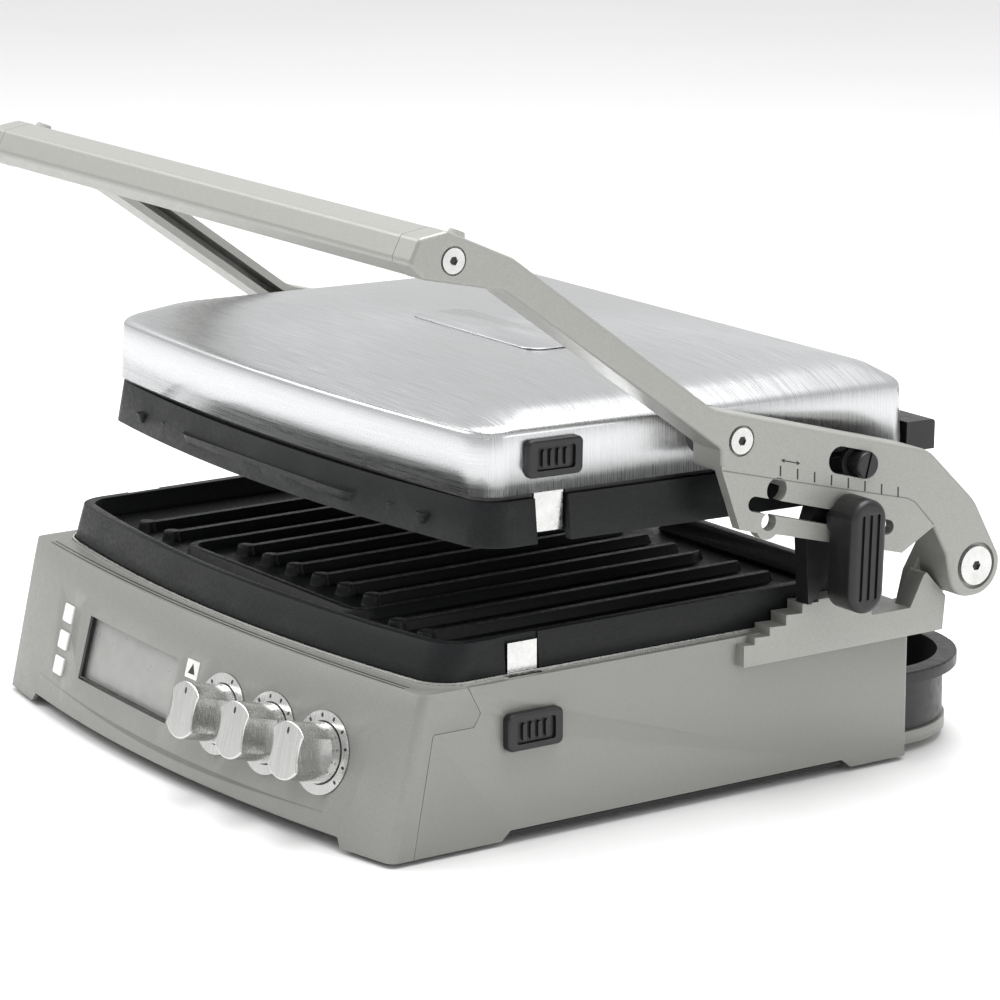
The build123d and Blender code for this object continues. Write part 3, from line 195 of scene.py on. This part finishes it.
def brushed(name, color, grains, roughness=(0.24, 0.34), relief=0.25):
    """Brushed metal, with one set of scratches for most faces and another for those facing front."""
    finish = Finish(name, color, metallic=1.0, roughness=0.28, Anisotropic=0.4)
    along_sheet, along_front = [finish.noise(1.0, 4.0, stretch) for stretch in grains]
    facing = finish.node("ShaderNodeSeparateXYZ")
    finish.link(finish.node("ShaderNodeNewGeometry").outputs["Normal"], facing.inputs[0])
    front = finish.node("ShaderNodeMath", operation="ABSOLUTE")
    finish.link(facing.outputs["Y"], front.inputs[0])
    mix = finish.node("ShaderNodeMix", data_type="FLOAT")
    finish.link(finish.spread(front.outputs["Value"], 0, 1, 0.5, 0.8), mix.inputs["Factor"])
    finish.link(along_sheet, mix.inputs["A"])
    finish.link(along_front, mix.inputs["B"])
    scratches = mix.outputs["Result"]
    finish.tint(scratches, 0.9, 1.06)
    finish.rough(scratches, *roughness)
    finish.bump(scratches, 0.00001, relief)
    return finish.material


def moulded(name, color, roughness, grain_scale=1800, grain=0.00004):
    """Moulded plastic or rubber with a fine spark-eroded grain and rubbed edges."""
    finish = Finish(name, color, roughness=roughness)
    finish.tint(finish.noise(60, 4.0), 0.8, 1.25)
    finish.rough(finish.noise(220), roughness - 0.07, roughness + 0.08)
    finish.bump(finish.noise(grain_scale, 2.0), grain, 0.6)
    finish.worn(0.0005, 0.25)
    return finish.material


def coated(name):
    """Non-stick coating: dark, finely pebbled and faintly mottled by the metal under it."""
    finish = Finish(name, (0.006, 0.0066, 0.0072), roughness=0.46, Specular_IOR_Level=0.24)
    finish.tint(finish.noise(1300, 3.0), 0.6, 1.7)
    finish.rough(finish.noise(500, 3.0), 0.34, 0.52)
    finish.bump(finish.noise(1100, 3.0), 0.00008, 0.7)
    finish.worn(0.0007, 0.12)
    return finish.material


def polished(name, color, roughness):
    """Bright metal with faint rubbing marks."""
    finish = Finish(name, color, metallic=1.0, roughness=roughness)
    finish.tint(finish.noise(120, 4.0), 0.9, 1.05)
    finish.rough(finish.noise(350, 4.0), roughness * 0.7, roughness * 1.6)
    finish.bump(finish.noise(700, 2.0), 0.00001, 0.4)
    return finish.material


def glossy(name, color, roughness):
    """Smooth glossy plastic or ink with a little unevenness."""
    finish = Finish(name, color, roughness=roughness)
    finish.tint(finish.noise(90, 3.0), 0.93, 1.06)
    finish.rough(finish.noise(260), roughness * 0.8, roughness * 1.3)
    finish.bump(finish.noise(900, 2.0), 0.00001, 0.3)
    return finish.material


PAINT = (0.25, 0.252, 0.235)
looks = {
    "silver_paint": silver_paint("silver_paint", PAINT),
    "painted_casting": silver_paint("painted_casting", tuple(c * 1.27 for c in PAINT)),
    "lid_steel": brushed("lid_steel", (0.58, 0.586, 0.594), ((30, 2200, 30), (30, 30, 2200))),
    "nonstick": coated("nonstick"),
    "black_plastic": moulded("black_plastic", (0.007, 0.007, 0.0072), 0.4),
    "rubber": moulded("rubber", (0.09, 0.09, 0.09), 0.7, 900, 0.0001),
    "grey_rubber": moulded("grey_rubber", (0.3, 0.3, 0.285), 0.6, 900, 0.00006),
    "display": glossy("display", (0.31, 0.314, 0.3), 0.34),
    "bright_steel": polished("bright_steel", (0.62, 0.62, 0.61), 0.2),
    "reflector": polished("reflector", (0.82, 0.82, 0.81), 0.24),
    "element_steel": polished("element_steel", (0.25, 0.22, 0.2), 0.4),
    "knob_metal": brushed(
        "knob_metal", (0.62, 0.62, 0.61), ((2600, 2600, 60), (2600, 60, 60)), (0.2, 0.3), 0.12
    ),
    "white_plastic": glossy("white_plastic", (0.78, 0.78, 0.76), 0.3),
    "circuit_board": glossy("circuit_board", (0.03, 0.13, 0.05), 0.35),
}
# black print, and the same black for slabs of painted shade in recesses and along steps
ink_and_shade = glossy("black_ink_and_shade", (0.012, 0.012, 0.012), 0.45)
# darker copy of the silver paint, for painted shade in the swept groove and along the parting line
groove_shade_paint = silver_paint("painted_groove_shade", tuple(c * 0.62 for c in PAINT))
slot_of = {row["node"]: row["material_slot"] for row in frame["record"]["subparts"]}
body_of = {
    node: body
    for body, members in frame["record"]["behaviour"]["bodies"].items()
    for node in members
}


def dress(piece, look, body):
    """Gives a new piece its material and its body."""
    piece.data.materials.clear()
    piece.data.materials.append(look)
    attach(piece, body)
    return piece


def new_piece(name, mesh):
    """An object of a mesh, in the scene."""
    piece = bpy.data.objects.new(name, mesh)
    bpy.context.scene.collection.objects.link(piece)
    return piece


def mesh_of(name, build):
    """A mesh that the given function fills in."""
    mesh = bpy.data.meshes.new(name)
    form = bmesh.new()
    build(form)
    bmesh.ops.recalc_face_normals(form, faces=form.faces)
    form.to_mesh(mesh)
    form.free()
    return mesh


def add_piece(name, build, look, body):
    """A new piece that the given function shapes."""
    return dress(new_piece(name, mesh_of(name, build)), look, body)


def bridge(form, low, high):
    """Quads between two closed rings of as many vertices."""
    for k in range(len(low)):
        form.faces.new((low[k], low[k - 1], high[k - 1], high[k]))


# CAD nodes with their edges broken --------------------------------------------------------------
MERGE_DISTANCE = 2e-6  # metres
FLAT_ANGLE, LEAST_ANGLE = 0.5, 30  # degrees: faces joined as one, edges rounded
EDGE_SEGMENTS = 2


def softened(node, width):
    """A piece that stands for a CAD node, with the small edge radii of the real moulding."""
    cad = nodes[node]
    form = bmesh.new()
    form.from_mesh(cad.data)
    bmesh.ops.remove_doubles(form, verts=form.verts, dist=MERGE_DISTANCE)
    bmesh.ops.dissolve_limit(
        form, angle_limit=math.radians(FLAT_ANGLE), verts=form.verts, edges=form.edges
    )
    mesh = bpy.data.meshes.new(node + "_finished")
    form.to_mesh(mesh)
    form.free()
    piece = new_piece(node + "_finished", mesh)
    bevel = piece.modifiers.new("edges", "BEVEL")
    bevel.width = width * MM
    bevel.segments = EDGE_SEGMENTS
    bevel.limit_method = "ANGLE"
    bevel.angle_limit = math.radians(LEAST_ANGLE)
    bevel.use_clamp_overlap = True
    bevel.harden_normals = True
    for polygon in mesh.polygons:
        polygon.use_smooth = True
    bpy.context.view_layer.update()
    ready = bpy.data.meshes.new_from_object(
        piece.evaluated_get(bpy.context.evaluated_depsgraph_get())
    )
    piece.modifiers.clear()
    piece.data = ready
    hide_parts(node)
    return dress(piece, looks[slot_of[node]], body_of[node])


for node, cad in nodes.items():
    cad.data.materials.clear()
    cad.data.materials.append(looks[slot_of[node]])

for node, width in {
    "front_panel": 0.7,
    "base_housing": 0.6,
    "right_bracket": 0.35,
    "left_bracket": 0.35,
    "lower_plate": 0.8,
    "upper_plate": 0.8,
    "lever_knob": 0.5,
    "lid_badge": 0.35,
}.items():
    softened(node, width)


# Lid cover: pressed steel with soft creases -----------------------------------------------------
ARC_STEPS, BOW_STEPS, CREASE_STEPS = 8, 20, 6
BOW_START = 1.15  # where the bow ends, in corner radii from the side


def rounded_corner(point, before, after, radius):
    """Points of an arc that rounds a corner of a plan outline."""
    arrive, leave = (point - before).normalized(), (after - point).normalized()
    turn = arrive.angle_signed(leave)
    reach = radius * math.tan(abs(turn) / 2)
    start = point - arrive * reach
    centre = start + Vector((arrive.y, -arrive.x)) * radius * (1 if turn > 0 else -1)
    spots = []
    for step in range(ARC_STEPS + 1):
        swing = -turn * step / ARC_STEPS
        arm = start - centre
        spots.append(centre + Matrix.Rotation(swing, 2) @ arm)
    return spots


def plan_ring(half, middle, corner, rear, front_r, rear_r):
    """Plan outline with a bowed front, from the front left, always with as many points."""
    bow_end = half - front_r * BOW_START
    bow = [
        Vector((x, corner + (middle - corner) * (1 - (x / half) ** 2)))
        for x in [bow_end * (-1 + 2 * k / BOW_STEPS) for k in range(BOW_STEPS + 1)]
    ]
    left_front, right_front = Vector((-half, corner)), Vector((half, corner))
    left_rear, right_rear = Vector((-half, rear)), Vector((half, rear))
    ring = rounded_corner(left_front, left_rear, bow[0], front_r)
    ring += bow
    ring += rounded_corner(right_front, bow[-1], right_rear, front_r)
    ring += rounded_corner(right_rear, right_front, left_rear, rear_r)
    ring += rounded_corner(left_rear, right_rear, left_front, rear_r)
    return ring


def soft_profile(sections, softness):
    """Sections of a loft with each inner one swapped for a short curve through it."""
    rows = [sections[0]]
    for before, here, after, share in zip(sections, sections[1:], sections[2:], softness):
        start = [h + (b - h) * share[0] for b, h in zip(before, here)]
        end = [h + (a - h) * share[1] for a, h in zip(after, here)]
        for step in range(CREASE_STEPS + 1):
            t = step / CREASE_STEPS
            rows.append(
                [
                    s * (1 - t) ** 2 + 2 * h * t * (1 - t) + e * t * t
                    for s, h, e in zip(start, here, end)
                ]
            )
    rows.append(sections[-1])
    return rows


TIP = math.radians(1.2)
float_place = Vector(joints["float_open"]["pos_m"])


def lid_point(x, y, z):
    """A point of the level lid, tipped back about its float pivots, as it stands at rest."""
    level = at(x, y, z)
    turned = Matrix.Rotation(-TIP, 3, "X") @ (level - float_place)
    return Vector((level.x, float_place.y + turned.y, float_place.z + turned.z))


# height, inset at the sides, in front, at the rear, front corner radius, rear corner radius
lid_sections = (
    (159.5, 0.0, 0.0, 0.0, 16.0, 10.0),
    (190.0, 0.6, 0.6, 0.6, 18.0, 12.0),
    (198.5, 19.0, 26.0, 12.0, 16.0, 12.0),
    (203.6, 70.0, 70.0, 60.0, 14.0, 12.0),
    (204.0, 120.0, 84.0, 90.0, 10.0, 10.0),
)
# for each inner section, how far its soft crease reaches down and up
LID_CREASES = ((0.09, 0.22), (0.3, 0.2), (0.35, 0.5))
LID_HALF, LID_FRONT, LID_CORNER, LID_REAR = 172.0, -104.0, -93.0, 161.0
LID_SHEET, HEM_FRONT_R, HEM_REAR_R, LID_INSIDE_DROP = 1.2, 15, 9, 3


def build_lid(form):
    rows = soft_profile(lid_sections, LID_CREASES)
    rings = []
    for z, side, front, rear, front_r, rear_r in rows:
        ring = plan_ring(
            LID_HALF - side, LID_FRONT + front, LID_CORNER + front, LID_REAR - rear, front_r, rear_r
        )
        rings.append([form.verts.new(lid_point(p.x, p.y, z)) for p in ring])
    # the pressed edge turns in under the skirt
    hem = plan_ring(
        LID_HALF - LID_SHEET,
        LID_FRONT + LID_SHEET,
        LID_CORNER + LID_SHEET,
        LID_REAR - LID_SHEET,
        HEM_FRONT_R,
        HEM_REAR_R,
    )
    hem_z, inside_z = lid_sections[0][0], lid_sections[1][0] - LID_INSIDE_DROP
    inside = [form.verts.new(lid_point(p.x, p.y, hem_z)) for p in hem]
    inner_top = [form.verts.new(lid_point(p.x, p.y, inside_z)) for p in hem]
    loops = [inner_top, inside] + rings
    for low, high in zip(loops, loops[1:]):
        bridge(form, low, high)
    form.faces.new(rings[-1])
    form.faces.new(list(reversed(inner_top)))


lid_shell = new_piece("lid_shell", mesh_of("lid_shell", build_lid))
for polygon in lid_shell.data.polygons:
    polygon.use_smooth = True
dress(lid_shell, looks["lid_steel"], "lid")
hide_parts("lid_cover")


# Thin printed or inlaid shapes, and thin dark slabs of painted shade ---------------------------------
RIBBON_THICK = 0.12
IN_FRONT = -400  # well before the control face
RIGHTWARD, UPWARD = Vector((1, 0, 0)), Vector((0, 0, 1))

panel_mesh = nodes["front_panel"].data
panel_surface = BVHTree.FromPolygons(
    [v.co for v in panel_mesh.vertices], [list(p.vertices) for p in panel_mesh.polygons]
)


def on_panel(x, z):
    """Place and outward normal of the control face at a width and height."""
    spot, normal, _, _ = panel_surface.ray_cast(at(x, IN_FRONT, z), Vector((0, 1, 0)))
    return spot, normal if normal.y < 0 else -normal


def add_slab(form, outline, normal, lift, thick):
    """A flat shape as a thin slab, whose top stands off its outline by the lift."""
    low = [form.verts.new(p + normal * ((lift - thick) * MM)) for p in outline]
    high = [form.verts.new(p + normal * (lift * MM)) for p in outline]
    form.faces.new(high)
    form.faces.new(list(reversed(low)))
    bridge(form, low, high)


def add_ribbon(form, spots, widths, lift):
    """A strip along a run of (place, normal) pairs, of varying width."""
    corners = ((-1, lift - RIBBON_THICK), (-1, lift), (1, lift), (1, lift - RIBBON_THICK))
    rows = []
    for k, (spot, normal) in enumerate(spots):
        ahead = spots[min(k + 1, len(spots) - 1)][0] - spots[max(k - 1, 0)][0]
        across = normal.cross(ahead).normalized() * widths[k] * MM / 2
        rows.append(
            [form.verts.new(spot + across * way + normal * rise * MM) for way, rise in corners]
        )
    for low, high in zip(rows, rows[1:]):
        bridge(form, low, high)
    form.faces.new(rows[0])
    form.faces.new(list(reversed(rows[-1])))


def disc(centre, across, upward, half_wide, half_high, count):
    """Ellipse outline on a plane."""
    return [
        centre
        + across * (half_wide * MM) * math.cos(math.tau * k / count)
        + upward * (half_high * MM) * math.sin(math.tau * k / count)
        for k in range(count)
    ]


# Dials: printed marks and pointer, and a dark disc of painted shade under each knob, in its well
KNOB_HIGH, WELL_R, WELL_SIDES = 22.5, 15.15, 48
MARK_RING, MARK_HALF_WIDE, MARK_HALF_HIGH, MARK_SIDES = 17.7, 0.75, 1.15, 12
MARK_START, MARK_SWEEP = -40, 170  # degrees from the top of the dial
POINTER_OUT, POINTER_HALF_WIDE, POINTER_HALF_HIGH = 9.6, 0.8, 1.7


def finish_dial(knob, mark_count):
    """Adds one dial's printed pieces and the painted shade under its knob."""
    hinge = joints[knob + "_turn"]
    out, centre = Vector(hinge["axis"]).normalized(), Vector(hinge["pos_m"])
    across = UPWARD.cross(out).normalized()
    upward = out.cross(across)

    def build_marks(form):
        for k in range(mark_count):
            turn = math.radians(MARK_START + MARK_SWEEP * k / (mark_count - 1))
            ray = across * math.sin(turn) + upward * math.cos(turn)
            middle_of_mark = centre + ray * MARK_RING * MM
            mark = disc(
                middle_of_mark, ray.cross(out), ray, MARK_HALF_WIDE, MARK_HALF_HIGH, MARK_SIDES
            )
            add_slab(form, mark, out, 0.56, 0.12)

    # painted shade: a dark disc under the knob, where its well lies in shade
    def build_knob_shade(form):
        add_slab(form, disc(centre, across, upward, WELL_R, WELL_R, WELL_SIDES), out, 0.12, 0.3)

    def build_pointer(form):
        tip = centre + upward * POINTER_OUT * MM
        mark = disc(tip, across, upward, POINTER_HALF_WIDE, POINTER_HALF_HIGH, MARK_SIDES)
        add_slab(form, mark, out, KNOB_HIGH + 0.06, 0.15)

    add_piece(knob + "_marks", build_marks, ink_and_shade, "root")
    add_piece(knob + "_knob_shade", build_knob_shade, ink_and_shade, "root")
    add_piece(knob + "_pointer", build_pointer, ink_and_shade, knob)


for knob, mark_count in (("function_knob", 4), ("lower_knob", 7), ("upper_knob", 7)):
    finish_dial(knob, mark_count)

# Badge: a plain triangle
TRIANGLE = ((-3.0, -2.3), (3.0, -2.3), (0.0, 2.9))
badge_low, badge_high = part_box("indicator_lens")
badge_out = Vector(joints["function_knob_turn"]["axis"]).normalized()
badge_across = UPWARD.cross(badge_out).normalized()
badge_up = badge_out.cross(badge_across)
badge_middle = (badge_low + badge_high) / 2


def build_triangle(form):
    outline = [badge_middle + (badge_across * x + badge_up * y) * MM for x, y in TRIANGLE]
    add_slab(form, outline, badge_out, 0.55, 0.2)


add_piece("badge_triangle", build_triangle, ink_and_shade, "root")

# Display: painted shade along the recess's left and lower edges, as two dark strips
WINDOW_X, WINDOW_Z, WINDOW_WIDE, WINDOW_HIGH = -50.5, 40.0, 96.0, 33.0
WINDOW_INSET, LEFT_SHADE_WIDE, LOWER_SHADE_HIGH = 0.1, 2.0, 0.9
WINDOW_SHADE_DEPTH, WINDOW_SHADE_THICK = 1.2, 1.5
PROBE_SIDE, PROBE_LOW, PROBE_HIGH = 58, 20, 22  # points round the window that miss every hole


def panel_frame(x, z):
    """Middle, across, up and out of the control face, taken from points round about."""
    left, right_side = on_panel(x - PROBE_SIDE, z)[0], on_panel(x + PROBE_SIDE, z)[0]
    low, high = on_panel(x, z - PROBE_LOW)[0], on_panel(x, z + PROBE_HIGH)[0]
    across = (right_side - left).normalized()
    rise = (high - low).normalized()
    return (low + high) / 2, across, rise, across.cross(rise).normalized()


# painted shade: dark strips sunk along the window's left and lower sides, where the recess's walls cast shade
def build_window_shade(form):
    spot, across, rise, out = panel_frame(WINDOW_X, WINDOW_Z)
    left, bottom = -WINDOW_WIDE / 2, -WINDOW_HIGH / 2
    strips = (
        ((left + WINDOW_INSET, bottom), (left + LEFT_SHADE_WIDE, -bottom)),
        ((left + WINDOW_INSET, bottom + WINDOW_INSET), (-left, bottom + LOWER_SHADE_HIGH)),
    )
    for (x0, y0), (x1, y1) in strips:
        corners = ((x0, y0), (x1, y0), (x1, y1), (x0, y1))
        outline = [spot + (across * x + rise * y) * MM for x, y in corners]
        add_slab(form, outline, out, -WINDOW_SHADE_DEPTH, WINDOW_SHADE_THICK)


add_piece("window_shade", build_window_shade, ink_and_shade, "root")

# Hexagon sockets: a dark slab of painted shade at the bottom of each bolt's recess.
# Node, its centre's depth and height, how far out its recess ends, the hexagon's radius, body
SOCKET_SHADES = (
    ("hinge_bolts", (182.2, 96.8), 199.25, 2.3, "hinge_bolts"),
    ("float_bolts", (35.0, 178.8), 199.65, 2.1, "float_pivots"),
    ("handle_screws", (-128.0, 281.7), 199.45, 1.9, "arms"),
)
SOCKET_SHADE_THICK = 0.2


def hexagon(x, y, z, radius):
    """Hexagon outline on a plane that faces sideways."""
    turns = [math.tau * k / 6 for k in range(6)]
    return [at(x, y + radius * math.cos(turn), z + radius * math.sin(turn)) for turn in turns]


for bolt, (bolt_y, bolt_z), reach_out, radius, body in SOCKET_SHADES:

    # painted shade: a dark hexagon on each side, deep in the socket
    def build_socket_shade(form):
        for way in (-1, 1):
            outline = hexagon(way * reach_out, bolt_y, bolt_z, radius)
            add_slab(form, outline, Vector((way, 0, 0)), 0, SOCKET_SHADE_THICK)

    add_piece(bolt + "_socket_shade", build_socket_shade, ink_and_shade, body)

# Control face: painted shade of the swept groove under the instruments, as a darker ribbon, and painted shade at
# the two steps behind the brow, as dark lines
SWEEP_START, SWEEP_LENGTH, SWEEP_STEPS = -146, 300, 48
SWEEP_Z, SWEEP_SAG = 15.5, 4.5
SWEEP_END_WIDE, SWEEP_SWELL = 0.25, 2.6
BROW_Z, BROW_Y, BROW_BOW, BROW_HALF = 77.6, -147.4, 12.4, 184
STEP_HALF, STEP_COUNT, STEP_WIDE = 168, 40, 0.9


# painted shade: a darker ribbon, widest in the middle, where the groove lies in shade
def build_sweep_shade(form):
    spots, widths = [], []
    for k in range(SWEEP_STEPS + 1):
        share = k / SWEEP_STEPS
        x = SWEEP_START + SWEEP_LENGTH * share
        spots.append(on_panel(x, SWEEP_Z - SWEEP_SAG * math.sin(math.pi * share * 0.9)))
        widths.append(SWEEP_END_WIDE + SWEEP_SWELL * math.sin(math.pi * share) ** 2)
    add_ribbon(form, spots, widths, 0.04)


# painted shade: a dark line along the edge of each step
def build_step_shade(form):
    for setback in (2.6, 5.2):
        spots = []
        for k in range(STEP_COUNT + 1):
            x = -STEP_HALF + 2 * STEP_HALF * k / STEP_COUNT
            y = BROW_Y + BROW_BOW * (x / BROW_HALF) ** 2 + setback
            spots.append((at(x, y, BROW_Z), UPWARD))
        add_ribbon(form, spots, [STEP_WIDE] * len(spots), 0.05)


add_piece("panel_sweep_shade", build_sweep_shade, groove_shade_paint, "root")
add_piece("brow_step_shade", build_step_shade, ink_and_shade, "root")

# Arm: printed height scale and arrow, and painted shade along the parting line, on the lever's side only
ARM_FACE = 200.0
SCALE_FIRST, SCALE_LAST, SCALE_COUNT = Vector((58.5, 161.1)), Vector((131.2, 141.0)), 8
TICK_HALF_WIDE, TICK_HALF_HIGH = 0.45, 2.6
ARROW_BAR = ((60.5, 165.6), (68.5, 163.4), (68.5, 164.0), (60.5, 166.2))
ARROW_TIPS = (((58.6, 166.4), 1), ((70.4, 163.2), -1))  # the tip, and the way back along the bar
ARROW_LONG, ARROW_SLOPE, ARROW_HALF_WIDE = 2.2, 0.6, 1.1
PARTING = ((23.8, 165.9), (60, 156.6), (100, 146.4), (137, 137.2), (142, 134.6), (154.4, 121.4))
PARTING_WIDE = 0.7


def add_print(form, corners):
    """Ink on the arm's outer face."""
    outline = [at(ARM_FACE, y, z) for y, z in corners]
    add_slab(form, outline, RIGHTWARD, 0.05, 0.15)


def build_scale(form):
    wide, high = TICK_HALF_WIDE, TICK_HALF_HIGH
    for k in range(SCALE_COUNT):
        y, z = SCALE_FIRST.lerp(SCALE_LAST, k / (SCALE_COUNT - 1))
        sides = ((-wide, -high), (wide, -high), (wide, high), (-wide, high))
        add_print(form, [(y + dy, z + dz) for dy, dz in sides])
    add_print(form, ARROW_BAR)
    for (y, z), way in ARROW_TIPS:
        back_y, back_z = y + ARROW_LONG * way, z - ARROW_SLOPE * way
        add_print(
            form, [(y, z), (back_y, back_z - ARROW_HALF_WIDE), (back_y, back_z + ARROW_HALF_WIDE)]
        )


# painted shade: a darker ribbon along the engraved parting line
def build_parting_shade(form):
    spots = [(at(ARM_FACE, y, z), RIGHTWARD) for y, z in PARTING]
    add_ribbon(form, spots, [PARTING_WIDE] * len(spots), 0.03)


add_piece("height_scale", build_scale, ink_and_shade, "arms")
add_piece("arm_parting_shade", build_parting_shade, groove_shade_paint, "arms")

# Reflector's bright edge round the foot of the lower plate
RIM_LOW, RIM_HIGH = 77.2, 78.7
RIM_OUTER = (177.9, -137.7, -121.2, 131.0, 19.0, 13.0)
RIM_INNER = (177.3, -137.1, -120.6, 130.4, 18.5, 12.5)


def build_rim(form):
    rows = [
        [form.verts.new(at(p.x, p.y, z)) for p in plan_ring(*outline)]
        for outline, z in (
            (RIM_OUTER, RIM_LOW),
            (RIM_OUTER, RIM_HIGH),
            (RIM_INNER, RIM_HIGH),
            (RIM_INNER, RIM_LOW),
        )
    ]
    for low, high in zip(rows, rows[1:] + rows[:1]):
        bridge(form, low, high)


add_piece("reflector_edge", build_rim, looks["reflector"], "root")

# Studio -----------------------------------------------------------------------------------------
REACH = 60.0  # metres
AMBIENT, SEEN_DIRECTLY = 0.8, 0.3  # the world's strength, and what it gains where it is in view
floor_mesh = bpy.data.meshes.new("floor")
floor_corners = [(-REACH, -REACH, 0), (REACH, -REACH, 0), (REACH, REACH, 0), (-REACH, REACH, 0)]
floor_mesh.from_pydata(floor_corners, [], [(0, 1, 2, 3)])
floor = new_piece("floor", floor_mesh)
floor_look = Finish("floor", (0.86, 0.86, 0.86), roughness=0.7)
floor_look.tint(floor_look.noise(3, 2.0), 0.99, 1.01)
floor_mesh.materials.append(floor_look.material)

world = bpy.data.worlds.new("studio")
bpy.context.scene.world = world
world.use_nodes = True
world_nodes, world_links = world.node_tree.nodes, world.node_tree.links
background = world_nodes["Background"]
background.inputs["Color"].default_value = (1, 1, 1, 1)
path = world_nodes.new("ShaderNodeLightPath")
strength = world_nodes.new("ShaderNodeMath")
strength.operation = "MULTIPLY_ADD"
strength.inputs[1].default_value = SEEN_DIRECTLY
strength.inputs[2].default_value = AMBIENT
world_links.new(path.outputs["Is Camera Ray"], strength.inputs[0])
world_links.new(strength.outputs[0], background.inputs["Strength"])


def softbox(name, place, target, wide, high, power):
    """A rectangular area light aimed at a point."""
    data = bpy.data.lights.new(name, "AREA")
    data.shape = "RECTANGLE"
    data.size, data.size_y, data.energy = wide, high, power
    light = bpy.data.objects.new(name, data)
    bpy.context.scene.collection.objects.link(light)
    light.location = place
    aim = Vector(target) - Vector(place)
    light.rotation_euler = aim.to_track_quat("-Z", "Y").to_euler()


middle = (0, 0, 0.12)
softbox("key", (-1.2, -1.0, 1.6), middle, 1.2, 1.0, 20)
softbox("top", (0.1, 0.3, 2.0), middle, 1.8, 1.2, 46)
softbox("side", (1.9, 0.6, 0.5), middle, 0.8, 0.5, 3)

bpy.context.scene.view_settings.view_transform = "Standard"
